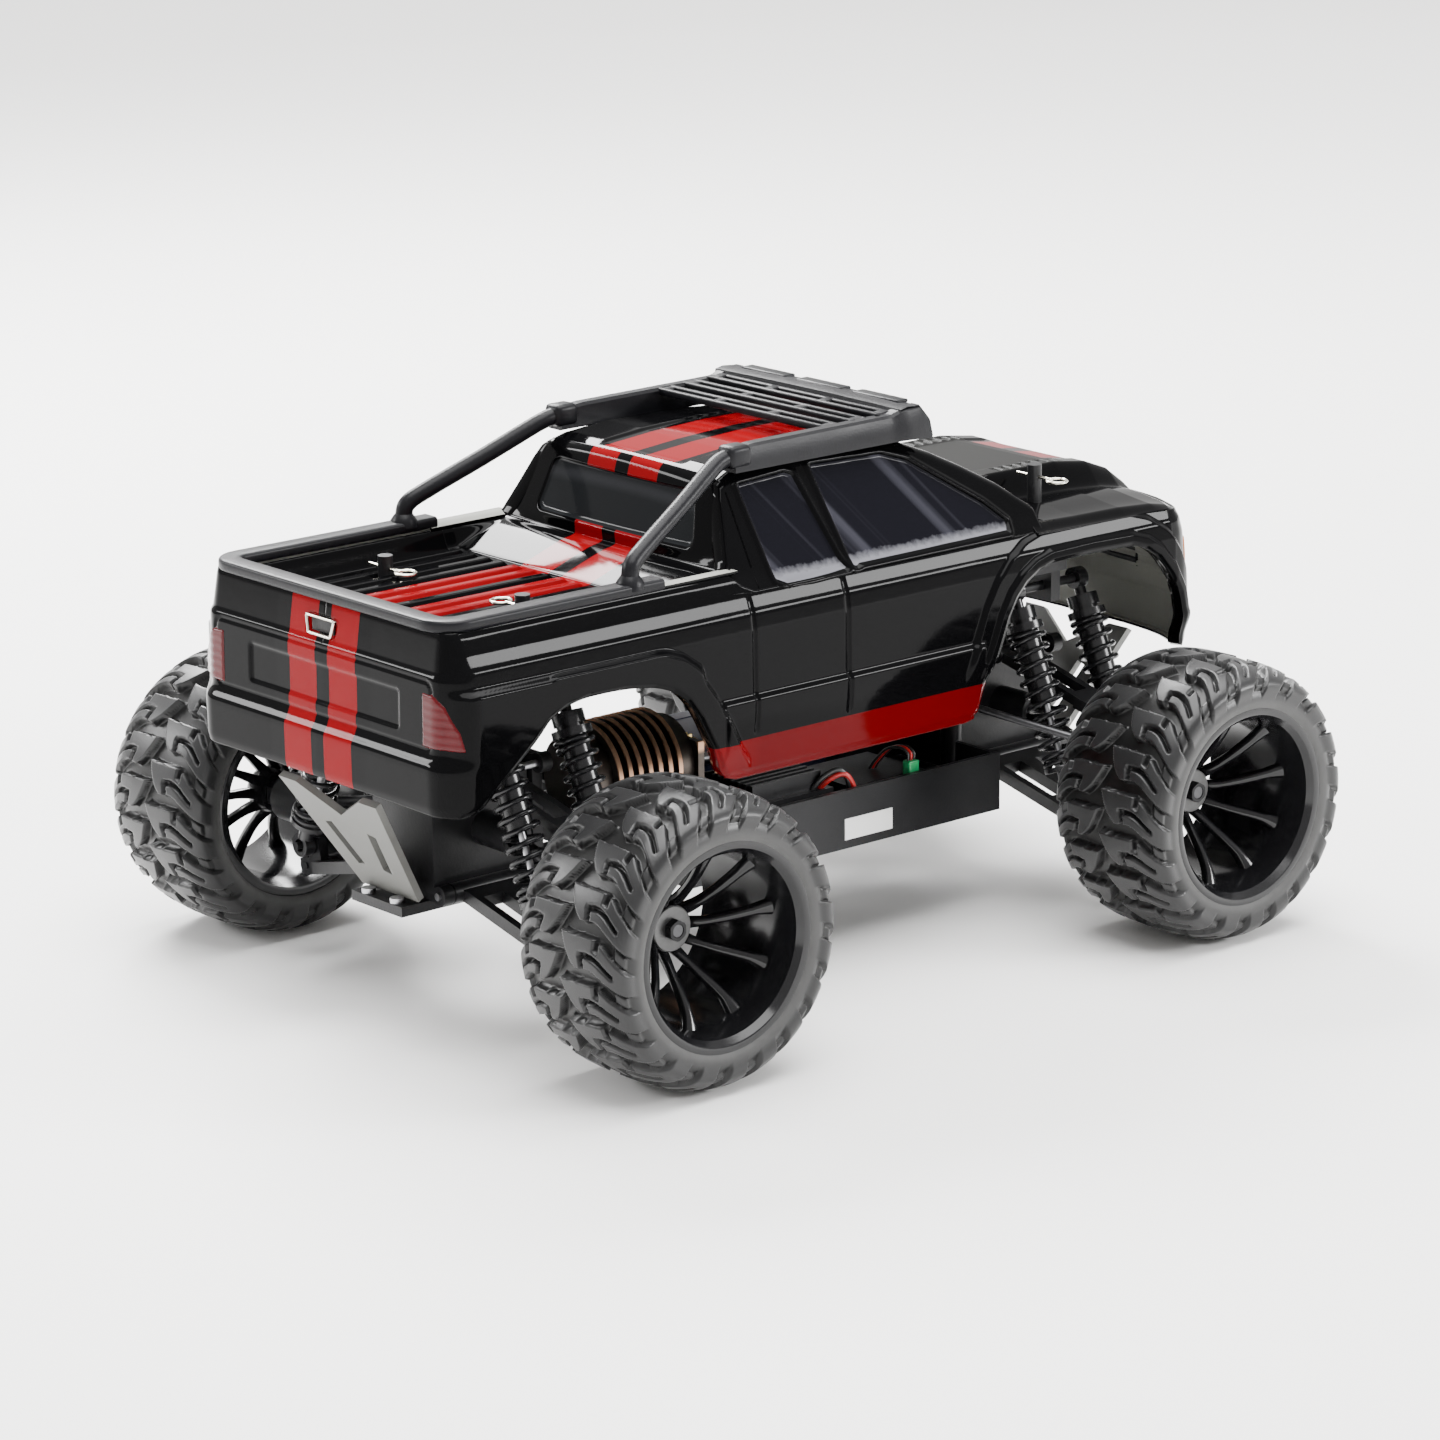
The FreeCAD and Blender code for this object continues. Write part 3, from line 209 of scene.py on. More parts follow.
def swept(name, route, ring, upright, material):
    """A closed bar along a route, from rings of (sideways, upward) places at each of its points."""
    ahead = unit(np.gradient(route, axis=0))
    side = unit(np.cross(ahead, upright))
    rise = np.cross(side, ahead)
    ring = np.broadcast_to(ring, (len(route), *np.shape(ring)[-2:]))
    points = route[:, None] + side[:, None] * ring[..., :1] + rise[:, None] * ring[..., 1:]
    rows, columns = points.shape[:2]
    faces = grid_faces(rows, columns, wrap_columns=True, flip=True)
    faces.append(list(range(columns)))
    faces.append(list(range(rows * columns - 1, (rows - 1) * columns - 1, -1)))
    return sharpened(mesh_object(name, points.reshape(-1, 3), faces, material), 50)


def tube(name, route, radius, material, sides=14):
    """A round bar along a route of points, with closed ends."""
    route = np.asarray(route, float)
    reach = np.abs(unit(np.gradient(route, axis=0))).max(axis=0)
    upright = next((axis for axis in (2, 0, 1) if reach[axis] < 0.97), int(np.argmin(reach)))
    angles = np.linspace(0, 2 * math.pi, sides, endpoint=False)
    ring = radius * np.stack([np.cos(angles), np.sin(angles)], axis=-1)
    return swept(name, route, ring, np.eye(3)[upright], material)


def rounded_bar(name, route, width, tall, radius, material):
    """A bar of rounded rectangular section along a level route."""
    turns = np.radians([start + turn for start in (0, 90, 180, 270) for turn in np.linspace(0, 90, 5)])
    corner = np.repeat([(1, 1), (-1, 1), (-1, -1), (1, -1)], 5, axis=0)
    flat = np.array([width, tall]) / 2 - radius
    ring = corner * flat + radius * np.stack([np.cos(turns), np.sin(turns)], axis=-1)
    return swept(name, np.asarray(route, float), ring, [0.0, 0.0, 1.0], material)


def spline(points, count):
    """A smooth Catmull-Rom line through points."""
    points = np.asarray(points, float)
    padded = np.vstack([2 * points[0] - points[1], points, 2 * points[-1] - points[-2]])
    where = np.linspace(0, len(points) - 1, count)
    index = np.minimum(where.astype(int), len(points) - 2)
    part = (where - index)[:, None]
    a, b, c, d = (padded[index + shift] for shift in range(4))
    return 0.5 * (2 * b + (c - a) * part + (2 * a - 5 * b + 4 * c - d) * part ** 2
                  + (3 * b - a - 3 * c + d) * part ** 3)


# ---------------------------------------------------------------- materials

class Nodes:
    """A short way to write a node material."""

    def __init__(self, name):
        self.material = bpy.data.materials.new(name)
        self.material.use_nodes = True
        self.tree = self.material.node_tree
        self.shader = self.tree.nodes["Principled BSDF"]
        self.where = self.add("ShaderNodeTexCoord").outputs["Object"]
        self.x, self.y, self.z = self.add("ShaderNodeSeparateXYZ", {0: self.where}).outputs

    def add(self, kind, inputs=None, **settings):
        node = self.tree.nodes.new(kind)
        for key, value in settings.items():
            setattr(node, key, value)
        for key, value in (inputs or {}).items():
            self.link(value, node.inputs[key])
        return node

    def link(self, value, socket):
        if isinstance(value, bpy.types.NodeSocket):
            self.tree.links.new(value, socket)
        else:
            socket.default_value = value

    def math(self, operation, first, second=0.0, third=0.0):
        return self.add("ShaderNodeMath", {0: first, 1: second, 2: third}, operation=operation).outputs[0]

    def times(self, first, *others):
        for other in others:
            first = self.math("MULTIPLY", first, other)
        return first

    def length(self, first, second):
        squares = self.math("ADD", self.times(first, first), self.times(second, second))
        return self.math("SQRT", squares)

    def ramp(self, value, low, high, to_low=0.0, to_high=1.0):
        return self.add("ShaderNodeMapRange", {"Value": value, "From Min": low, "From Max": high,
                                               "To Min": to_low, "To Max": to_high}).outputs[0]

    def band(self, value, low, high, soft):
        """1 between low and high, eased over a soft edge."""
        rise = self.ramp(value, low - soft, low + soft)
        return self.times(rise, self.ramp(value, high - soft, high + soft, 1.0, 0.0))

    def uneven(self, noise, low, high):
        """A roughness that drifts with a noise."""
        return self.ramp(noise, 0.3, 0.7, low, high)

    def noise(self, scale, detail=4.0, roughness=0.55, vector=None):
        return self.add("ShaderNodeTexNoise", {"Vector": vector or self.where, "Scale": scale,
                                               "Detail": detail, "Roughness": roughness}).outputs[0]

    def attribute(self, name):
        return self.add("ShaderNodeAttribute", attribute_name=name).outputs["Fac"]

    def mix(self, factor, first, second):
        """A colour between two, each a socket or three numbers."""
        node = self.add("ShaderNodeMix", {0: factor}, data_type="RGBA")
        for number, colour in ((6, first), (7, second)):
            self.link((*colour, 1.0) if isinstance(colour, tuple) else colour, node.inputs[number])
        return node.outputs[2]

    def bump(self, height, strength, distance):
        node = self.add("ShaderNodeBump", {"Height": height, "Strength": strength, "Distance": distance})
        self.link(node.outputs[0], self.shader.inputs["Normal"])

    def set(self, **values):
        for key, value in values.items():
            self.link(value, self.shader.inputs[key.replace("_", " ")])


def plastic(name, dark, light, rough_low, rough_high, grain, grain_depth, specular=0.5):
    """Moulded plastic: fine grain, slow tone changes and slightly uneven gloss."""
    n = Nodes(name)
    slow = n.noise(28.0, 3.0)
    n.set(Base_Color=n.mix(slow, dark, light), Roughness=n.uneven(slow, rough_low, rough_high),
          Specular_IOR_Level=specular)
    n.bump(n.noise(grain, 3.0, 0.6), 0.35, grain_depth)
    return n.material


def metal(name, dark, light, rough_low, rough_high, scale):
    """Machined or drawn metal: one fine noise drives tone, gloss and grain."""
    n = Nodes(name)
    fine = n.noise(scale, 5.0, 0.7)
    n.set(Base_Color=n.mix(fine, dark, light), Metallic=1.0,
          Roughness=n.uneven(fine, rough_low, rough_high))
    n.bump(fine, 0.15, 0.0001)
    return n.material


def body_paint():
    """Gloss black shell with twin centre stripes and a sill stripe on each side; the sill stripe is a darker
    red as painted shade except at its rear end, and the hood bulge is matt with a lighter grey that is a
    painted sheen.
    """
    n = Nodes("body_paint")
    distance = n.math("ABSOLUTE", n.x)
    front_edge = n.math("MULTIPLY_ADD", n.z, 0.45, 0.0655 - 0.0915 * 0.45)
    sill = n.times(n.band(n.z, 0.0850, 0.1057, 0.00012), n.math("GREATER_THAN", distance, 0.072),
                   n.math("LESS_THAN", n.y, front_edge), n.math("GREATER_THAN", n.y, -0.0785))
    on_bulge = n.times(n.band(n.y, 0.094, 0.156, 0.0003), n.band(distance, -1.0, 0.0345, 0.0004))
    above_nose = n.math("MAXIMUM", n.math("LESS_THAN", n.y, 0.15), n.math("GREATER_THAN", n.z, 0.1585))
    stripes = n.times(n.band(distance, 0.0040, 0.0213, 0.00012), above_nose,
                      n.math("SUBTRACT", 1.0, on_bulge))
    slow = n.noise(22.0, 3.0)
    red = n.mix(slow, (0.150, 0.0008, 0.003), (0.185, 0.0015, 0.004))
    # painted shade: the sill stripe's red is darker from just ahead of its rear end forwards, where it faces
    # the floor
    shaded_sill_red = n.mix(n.ramp(n.y, -0.079, -0.050), (0.15, 0.001, 0.003), (0.085, 0.0008, 0.0018))
    gloss_black = n.mix(slow, (0.0012, 0.0012, 0.0014), (0.0022, 0.0022, 0.0025))
    # painted sheen: the matt hood bulge takes a lighter grey than the gloss black, standing for the sheen on
    # its top
    black = n.mix(on_bulge, gloss_black, (0.012, 0.012, 0.0115))
    painted = n.mix(n.math("MAXIMUM", stripes, sill), black, n.mix(sill, red, shaded_sill_red))
    glass = n.band(n.attribute("window"), 0.5, 9.0, 0.06)
    gloss = n.ramp(n.noise(900.0, 2.0), 0.55, 0.8, 0.07, 0.12)
    n.set(Base_Color=n.mix(glass, painted, tinted_glass(n)), Specular_IOR_Level=0.055,
          Roughness=n.math("MAXIMUM", gloss, n.times(on_bulge, 0.4)))
    n.bump(n.noise(160.0, 2.0), 0.05, 0.0004)
    return n.material


def tinted_glass(n):
    """Smoked film with slanted streaks of painted reflection, and frosting along the sill."""
    slant = n.math("MULTIPLY_ADD", n.z, 0.75, n.y)
    streak_place = n.add("ShaderNodeCombineXYZ", {0: slant, 1: 0.0, 2: 0.0}).outputs[0]
    # painted reflection: slanted lighter streaks across the smoked film
    light = n.ramp(n.noise(62.0, 3.0, 0.5, streak_place), 0.52, 0.72)
    ragged = n.math("MULTIPLY_ADD", n.noise(420.0, 3.0), 0.003, n.z)
    frost = n.times(n.ramp(ragged, 0.1665, 0.1695, 1.0, 0.0), n.math("GREATER_THAN", n.y, -0.045))
    side_film = n.mix(light, (0.004, 0.004, 0.006), (0.038, 0.038, 0.048))
    rear_film = n.mix(light, (0.010, 0.011, 0.012), (0.026, 0.027, 0.030))
    film = n.mix(n.math("LESS_THAN", n.y, -0.045), side_film, rear_film)
    return n.mix(frost, film, (0.13, 0.13, 0.145))


def tyre_rubber():
    """Tyre rubber: fine mould grain, walls a lighter grey that is partly dust bloom and partly painted light,
    and painted shade blackening the grooves.
    """
    n = Nodes("tyre_rubber_look")
    slow = n.noise(35.0)
    wall = n.attribute("wall")
    tread = n.mix(slow, (0.006, 0.006, 0.0065), (0.011, 0.011, 0.0115))
    # dust bloom and painted light: the walls are a lighter grey than the tread, partly bloom on the rubber and
    # partly standing for the light they catch
    dusty_and_lit_wall = n.mix(n.noise(220.0), (0.030, 0.030, 0.0295), (0.052, 0.052, 0.051))
    # painted shade: the grooves between the lugs are mixed to near black
    n.set(Base_Color=n.mix(n.attribute("groove_shade"), n.mix(wall, tread, dusty_and_lit_wall), (0.002, 0.002, 0.002)),
          Roughness=n.math("MULTIPLY_ADD", wall, 0.25, n.uneven(slow, 0.30, 0.40)),
          Specular_IOR_Level=0.36, Sheen_Weight=0.08, Sheen_Roughness=0.4)
    n.bump(n.math("MULTIPLY_ADD", slow, 0.5, n.noise(1500.0, 3.0, 0.7)), 0.25, 0.0002)
    return n.material


def lens(name, colour):
    """Ribbed lamp lens."""
    n = Nodes(name)
    n.set(Base_Color=n.mix(n.noise(60.0, 2.0), colour, tuple(part * 0.6 for part in colour)),
          Roughness=0.16, Specular_IOR_Level=0.2)
    n.bump(n.math("SINE", n.times(n.z, 2400.0)), 0.04, 0.0001)
    return n.material


def head_lens():
    """Clear lens over a round reflector with its bulb."""
    n = Nodes("head_lens")
    radius = n.length(n.math("SUBTRACT", n.math("ABSOLUTE", n.x), 0.0505), n.math("SUBTRACT", n.z, 0.137))
    bowl = n.mix(n.ramp(radius, 0.003, 0.0085), (0.10, 0.10, 0.105), (0.34, 0.34, 0.35))
    rib = n.ramp(n.math("SINE", n.times(n.x, 3500.0)), -1.0, 1.0)
    field = n.mix(rib, (0.035, 0.035, 0.037), (0.08, 0.08, 0.083))
    inside = n.mix(n.band(radius, -1.0, 0.0030, 0.0002), bowl, (0.62, 0.62, 0.60))
    rimmed = n.mix(n.band(radius, 0.0080, 0.0088, 0.0002), inside, (0.55, 0.55, 0.56))
    n.set(Base_Color=n.mix(n.band(radius, -1.0, 0.0088, 0.0002), field, rimmed),
          Roughness=0.15, Specular_IOR_Level=0.3)
    n.bump(rib, 0.1, 0.0002)
    return n.material


def shock_rod_look():
    """Polished rod above a black moulded eye and spring seat."""
    n = Nodes("shock_rod_look")
    fine = n.noise(400.0)
    rod = n.ramp(n.z, 0.0615, 0.0625)
    eye = n.mix(fine, (0.006, 0.006, 0.007), (0.013, 0.013, 0.014))
    bright = n.mix(fine, (0.32, 0.32, 0.33), (0.5, 0.5, 0.52))
    n.set(Base_Color=n.mix(rod, eye, bright), Metallic=rod, Roughness=n.uneven(fine, 0.26, 0.38))
    n.bump(fine, 0.15, 0.0001)
    return n.material


def heat_sink():
    """Dark fins with worn copper-coloured edges, on a dark can."""
    n = Nodes("heat_sink_alloy")
    fine = n.noise(300.0, 5.0, 0.7)
    radius = n.length(n.math("SUBTRACT", n.x, 0.024), n.math("SUBTRACT", n.z, MOTOR_Z * MM))
    dark = n.mix(fine, (0.05, 0.043, 0.038), (0.10, 0.085, 0.075))
    worn = n.mix(fine, (0.42, 0.24, 0.15), (0.62, 0.38, 0.25))
    n.set(Base_Color=n.mix(n.ramp(radius, 0.0206, 0.0212), dark, worn), Metallic=1.0,
          Roughness=n.uneven(fine, 0.32, 0.46))
    n.bump(fine, 0.15, 0.0001)
    return n.material


PAINT = body_paint()
RUBBER = tyre_rubber()
TRIM = plastic("trim_grain", (0.004, 0.004, 0.005), (0.008, 0.008, 0.0095), 0.30, 0.40, 900.0, 0.0002, 0.14)
SKID = plastic("skid_grain", (0.105, 0.105, 0.098), (0.15, 0.15, 0.14), 0.42, 0.55, 700.0, 0.0002)
CHASSIS = plastic("chassis_grain", (0.007, 0.007, 0.008), (0.015, 0.015, 0.016), 0.32, 0.45, 800, 0.0002, 0.22)
ARM = plastic("arm_grain", (0.006, 0.006, 0.007), (0.013, 0.013, 0.014), 0.28, 0.42, 800.0, 0.00015, 0.3)
RIM = plastic("rim_gloss", (0.004, 0.004, 0.0045), (0.008, 0.008, 0.009), 0.10, 0.17, 300.0, 0.00005, 0.32)
SHOCK = plastic("shock_gloss", (0.006, 0.006, 0.007), (0.012, 0.012, 0.013), 0.2, 0.3, 500.0, 0.0001, 0.35)
SPRING = plastic("spring_enamel", (0.006, 0.006, 0.007), (0.010, 0.010, 0.011), 0.18, 0.28, 500, 0.00005, 0.35)
LABEL = plastic("label_paper", (0.75, 0.75, 0.74), (0.85, 0.85, 0.84), 0.4, 0.5, 600.0, 0.0001)
WRAP = plastic("battery_wrap", (0.006, 0.008, 0.02), (0.012, 0.015, 0.035), 0.3, 0.4, 200.0, 0.0002, 0.2)
WIRE_RED = plastic("wire_red", (0.35, 0.01, 0.01), (0.45, 0.02, 0.02), 0.3, 0.4, 400.0, 0.0001)
WIRE_GREEN = plastic("wire_green", (0.01, 0.25, 0.08), (0.02, 0.35, 0.12), 0.3, 0.4, 400.0, 0.0001)
WIRE_BLACK = plastic("wire_black", (0.01, 0.01, 0.01), (0.02, 0.02, 0.02), 0.3, 0.4, 400.0, 0.0001)
STEEL = metal("steel_turned", (0.32, 0.32, 0.33), (0.5, 0.5, 0.52), 0.28, 0.4, 400.0)
DARK_STEEL = metal("steel_blackened", (0.05, 0.05, 0.052), (0.10, 0.10, 0.105), 0.28, 0.4, 400.0)
WASHER = metal("washer_dark", (0.07, 0.07, 0.07), (0.13, 0.13, 0.13), 0.35, 0.45, 300.0)
SINK = heat_sink()
INSIDE = plastic("shell_inside", (0.20, 0.20, 0.18), (0.29, 0.29, 0.265), 0.6, 0.75, 300.0, 0.0003, 0.25)
CLIP = metal("clip_wire_bright", (0.65, 0.62, 0.52), (0.85, 0.82, 0.72), 0.15, 0.25, 400.0)
BRASS = metal("brass_machined", (0.55, 0.40, 0.16), (0.72, 0.54, 0.24), 0.25, 0.35, 500.0)
TAIL_LENS = lens("tail_lens", (0.075, 0.002, 0.004))
HEAD_LENS = head_lens()
ROD = shock_rod_look()
AMBER_LENS = lens("amber_lens", (0.42, 0.11, 0.004))


# ---------------------------------------------------------------- body outlines

HALF = 81.5
REAR, FRONT = -204.0, 204.0
REAR_ROUND = 13.0
SILL = 90.0
SHELL_THICKNESS = 1.1
DOOR_GAPS = (-53.6, -5.2)
ARCH_LIP_RADIUS = 2.2
# Rounded rectangles on the tailgate, as (low x, high x, low z, high z, corner radius).
GATE_EDGE = (-68.5, 68.5, 125.4, 151.6, 4.0)
PLATE_RECESS = (-46.0, 48.0, 130.3, 145.2, 1.4)
HANDLE_BOWL = (-10.5, 7.5, 156.2, 163.4, 2.6)

# How far the shell stands out from its plan outline, as (height, offset), on the side, tail and nose.
SIDE_PROFILE = [(88, -3.6), (92.2, -3.4), (93.0, -2.6), (105, -1.4), (121, -1.0), (148, -1.3),
                (155.0, -2.2), (156.4, -3.0), (161.2, -4.8), (162.2, -5.0), (168.2, -6.6), (169.4, -7.6),
                (172, -7.9)]
TAIL_PROFILE = [(100, -1.2), (104, -0.2), (117.8, 0.0), (119.6, -0.2), (122.4, -2.0), (124.0, -2.6),
                (150, -2.9), (152.8, -2.9), (154.4, -4.0), (168.5, -6.0), (170.2, -6.6)]
NOSE_PROFILE = [(96, -4.0), (102, -1.5), (116, 0.0), (118, -1.6), (121, -2.0), (140, -3.0), (150, -4.5),
                (156, -7.0), (161, -10.5), (164, -13.0)]

# Edges of the wheel arches and of the shell's top, as (distance along the side, height).
REAR_ARCH = [(-196, 101), (-190, 103.5), (-182, 110), (-164, 125), (-156, 132.5), (-148, 136), (-138, 137.6),
             (-120, 137.3), (-106, 135.3), (-97, 132), (-90, 127), (-84, 119), (-78, 108), (-71, 96),
             (-67, 91.5)]
FRONT_ARCH = [(64, 91), (66.5, 95), (70, 108), (75, 120), (79.5, 131), (84, 138.5), (89.5, 144), (96, 147.6),
              (104, 149.6), (125, 150), (148, 149.4), (156, 147), (163, 142.5), (170, 134.5), (176, 125),
              (180, 111), (184, 101)]
TOP_LINE = [(-300, 170.2), (-61, 170.2), (-56, 165.6), (-50, 163), (60, 162.6), (100, 161.8), (150, 160.6),
            (176, 159.5), (190, 158.4), (300, 158)]


def plan_curve():
    """Half of the shell's outline from above, tail centre to nose centre, and its outward normals."""
    turns = np.radians(np.linspace(0, 90, 24))
    corner = np.stack([HALF - REAR_ROUND * (1 - np.sin(turns)),
                       REAR + REAR_ROUND * (1 - np.cos(turns))], axis=1)
    nose = [(HALF, 174.0), (79.8, 181.5), (75.5, 188.6), (67.0, 195.2), (54.0, 200.2), (36.0, 203.0),
            (18.0, 203.9), (0.0, FRONT)]
    line = np.vstack([(0.0, REAR), (30.0, REAR + 0.2), corner, (HALF, -190.0), (HALF, 165.0),
                      spline(nose, 120)])
    run = running_length(line)
    dense_run = np.arange(0, run[-1], 0.25)
    dense = np.stack([np.interp(dense_run, run, line[:, 0]), np.interp(dense_run, run, line[:, 1])], axis=1)
    zero = np.interp(-150.0, dense[:, 1], dense_run) + 150.0
    heading = unit(np.gradient(dense, axis=0))
    return dense_run - zero, dense, np.stack([heading[:, 1], -heading[:, 0]], axis=1)


PLAN_RUN, PLAN_LINE, PLAN_NORMAL = plan_curve()
TAIL_END, NOSE_END = PLAN_RUN[0], PLAN_RUN[-1]


def on_plan(run):
    """Place and outward normal on the outline for a distance along it; on the sides the distance is y."""
    place = np.stack([np.interp(run, PLAN_RUN, PLAN_LINE[:, axis]) for axis in (0, 1)], axis=-1)
    normal = np.stack([np.interp(run, PLAN_RUN, PLAN_NORMAL[:, axis]) for axis in (0, 1)], axis=-1)
    return place, unit(normal)


def wall_points(run, height, offset):
    """Points that stand out from the plan outline by an offset at each height."""
    place, normal = on_plan(run)
    return np.concatenate([place + normal * offset[..., None], height[..., None]], axis=-1)


def line_distance(run, height, line):
    """Distance of points to an open line."""
    best = np.full(np.shape(run), 1e9)
    for (ax, az), (bx, bz) in zip(line[:-1], line[1:]):
        length2 = (bx - ax) ** 2 + (bz - az) ** 2
        part = np.clip(((run - ax) * (bx - ax) + (height - az) * (bz - az)) / length2, 0, 1)
        best = np.minimum(best, np.hypot(run - ax - part * (bx - ax), height - az - part * (bz - az)))
    return best


def polygon_depth(first, second, corners):
    """Distance inside a polygon: positive within, negative outside."""
    loop = list(corners) + [corners[0]]
    distance = line_distance(first, second, loop)
    inside = np.zeros(np.shape(first), bool)
    for (ax, az), (bx, bz) in zip(loop[:-1], loop[1:]):
        crosses = (az > second) != (bz > second)
        with np.errstate(divide="ignore", invalid="ignore"):
            meet = (bx - ax) * (second - az) / (bz - az) + ax
        inside ^= crosses & (first < meet)
    return np.where(inside, distance, -distance)


def box_depth(first, second, low_first, high_first, low_second, high_second, radius=2.0):
    """Distance inside a rounded rectangle: positive within, negative outside."""
    middle_first, middle_second = (low_first + high_first) / 2, (low_second + high_second) / 2
    over_first = np.abs(first - middle_first) - (high_first - low_first) / 2 + radius
    over_second = np.abs(second - middle_second) - (high_second - low_second) / 2 + radius
    outside = np.hypot(np.maximum(over_first, 0), np.maximum(over_second, 0))
    return radius - outside - np.minimum(np.maximum(over_first, over_second), 0)


def shell_offset(run, height):
    """Outward offset of the painted shell from its plan outline at each place."""
    side = rounded_profile(SIDE_PROFILE, height, 0.6)
    on_door = between((-71.5, -69.5), (65.5, 67.5), run)
    side = side + 1.5 * between((95, 118), (120.8, 123.4), height) * on_door
    to_tail = falloff(-205.0, -188.0, run)
    to_nose = smoothstep(172.0, 205.0, run)
    offset = (side * (1 - to_tail - to_nose) + rounded_profile(TAIL_PROFILE, height, 0.6) * to_tail
              + rounded_profile(NOSE_PROFILE, height, 0.8) * to_nose)

    rear = line_distance(run, height, REAR_ARCH)
    rear_wide = 10.0 + smoothstep(132, 140, height) * 2.5
    rear_mask = between((-197, -189), (-56, -50), run) * falloff(147.2, 149.2, height)
    flare = falloff(rear_wide, rear_wide + 3.4, rear) * rear_mask
    flare = np.maximum(flare, falloff(146.4, 149.2, height) * between((-204, -190), (-130, -118), run))
    front = line_distance(run, height, FRONT_ARCH)
    front_mask = between((52, 60), (183, 196), run) * falloff(160.5, 163.5, height)
    front_flare = (1.7 * falloff(11.5, 14.0, front) + 1.6 * falloff(4.2, 6.4, front)) * front_mask
    offset += 3.4 * flare * smoothstep(90, 106, height) + front_flare * smoothstep(103, 116, height)
    offset -= 0.9 * falloff(0.0, ARCH_LIP_RADIUS, np.minimum(rear, front)) * (height > SILL + 2.0)
    for gap in DOOR_GAPS:
        offset -= 0.8 * falloff(0.35, 0.95, np.abs(run - gap)) * between((107, 109), (159, 162), height)
    return offset


def gate_depth(x, height):
    """How deep the tailgate's edge line, plate recess and handle bowl go; the nose repeats them."""
    return (0.55 * falloff(0.3, 0.9, np.abs(box_depth(x, height, *GATE_EDGE)))
            + 0.8 * smoothstep(-0.5, 0.5, box_depth(x, height, *PLATE_RECESS))
            + 1.8 * smoothstep(-0.6, 1.2, box_depth(x, height, *HANDLE_BOWL)))


def lower_line():
    """The shell's lower edge from tail centre to nose centre in the (run, height) sheet."""
    tail = [(TAIL_END, 101.5), (-235.0, 101.3), (-205.0, 101.0)]
    sill = [(-62, SILL), (0, SILL), (60, SILL)]
    nose = [(188, 99.5), (196, 99.0), (NOSE_END, 99.0)]
    return np.vstack([tail, spline(REAR_ARCH, 600), sill, spline(FRONT_ARCH, 600), nose])


def side_shell(side):
    """One half of the shell's wall with a return lip round its lower edge, and the points of its top edge."""
    edge = lower_line()
    run = running_length(edge)
    marks = np.linspace(0, run[-1], int(run[-1] / 0.85))
    along = np.clip(np.interp(marks, run, edge[:, 0]), TAIL_END, NOSE_END)
    low = np.interp(marks, run, edge[:, 1])
    high = through(along, *TOP_LINE)
    height = low + np.linspace(0, 1, 92)[:, None] * (high - low)
    across = np.broadcast_to(along, height.shape)
    offset = shell_offset(across, height) - gate_depth(on_plan(across)[0][..., 0] * side, height)
    lip = [wall_points(along, low + rise, offset[0] - inward)
           for inward, rise in ((5.0, 0.36), (3.2, 0.2), (1.6, 0.06), (0.6, 0.0))]
    points = np.concatenate([lip, wall_points(across, height, offset)]) * [side, 1, 1]
    return grid_object(f"shell_side_{side}", points, PAINT, flip=side < 0), points[-1]


# ---------------------------------------------------------------- cab, hood and bed

# The roof from its rear edge down the windscreen, as (y, height at the centre, height at the edge).
CAB_LINE = [(-47.5, 202.4, 200.8), (-40, 204.5, 203.4), (-20, 206.2, 205.3), (9, 207.6, 205.4),
            (36, 207.6, 203.6), (48, 204.8, 202.0), (62, 198.0, 196.2), (75, 191.0, 189.6),
            (90, 183.0, 181.0), (103.5, 175.2, 171.2)]
REAR_WINDOW = [(-40, 199), (-16, 200.2), (-12.5, 199), (-3.8, 167), (-1.6, 163.6), (-31, 162.2), (-37, 165)]
FRONT_WINDOW = [(-2, 201), (35, 200), (47, 196), (78, 175.6), (86.5, 168), (85.6, 164.8), (6, 164.4),
                (3, 163.6)]
BELT_X = HALF - 5.0     # where the cab's side meets the shell's wall
LEAN = 0.545            # how far the cab's side goes inwards for its height
PILLAR_TOP = 203.0
PILLAR_TOP_X = 53.0
BED_HALF = 66.5
BED_FLOOR = 160.6
WALL_TOP = 169.3
HOOD_START = 99.0


def lean_x(height):
    """How far out the cab's side stands at a height."""
    return PILLAR_TOP_X + (PILLAR_TOP - height) * LEAN


def arc(first, middle, last, part):
    """A round joint from one value to another, pulled towards a middle one."""
    return (1 - part) ** 2 * first + 2 * part * (1 - part) * middle + part ** 2 * last


def cab_section(y):
    """Half of a cross-section of the cab, from the belt up the side and over the roof to the centre."""
    ys, centres, edges = np.transpose(CAB_LINE)
    centre, edge = np.interp(y, ys, centres), np.interp(y, ys, edges)
    belt = through(y, (-90, 166.0), (-60, 163.0), (-38, 161.6), (80, 161.6), (106, 162.0))
    heights = belt + (edge - 3.2 - belt) * np.linspace(0, 1, 60) ** 0.95
    widths = lean_x(heights) + (BELT_X - lean_x(belt)) * falloff(0, 7.0, heights - belt)
    edge_x = lean_x(edge)
    bend = np.linspace(0, 1, 12)[1:]
    over = np.linspace(1, 0, 64)[1:]
    xs = [widths, arc(widths[-1], edge_x, edge_x - 4.0, bend), over * (edge_x - 4.0)]
    zs = [heights, arc(heights[-1], edge + 0.2, edge + 0.7, bend),
          edge + 0.7 + (centre - edge - 0.7) * (1 - over ** 2.4)]
    return np.concatenate(xs), np.concatenate(zs), len(widths)


def point_values(item, name, values):
    """Give each point of a mesh a value for its material to read."""
    attribute = item.data.attributes.new(name, "FLOAT", "POINT")
    attribute.data.foreach_set("value", values.reshape(-1).astype(np.float32))


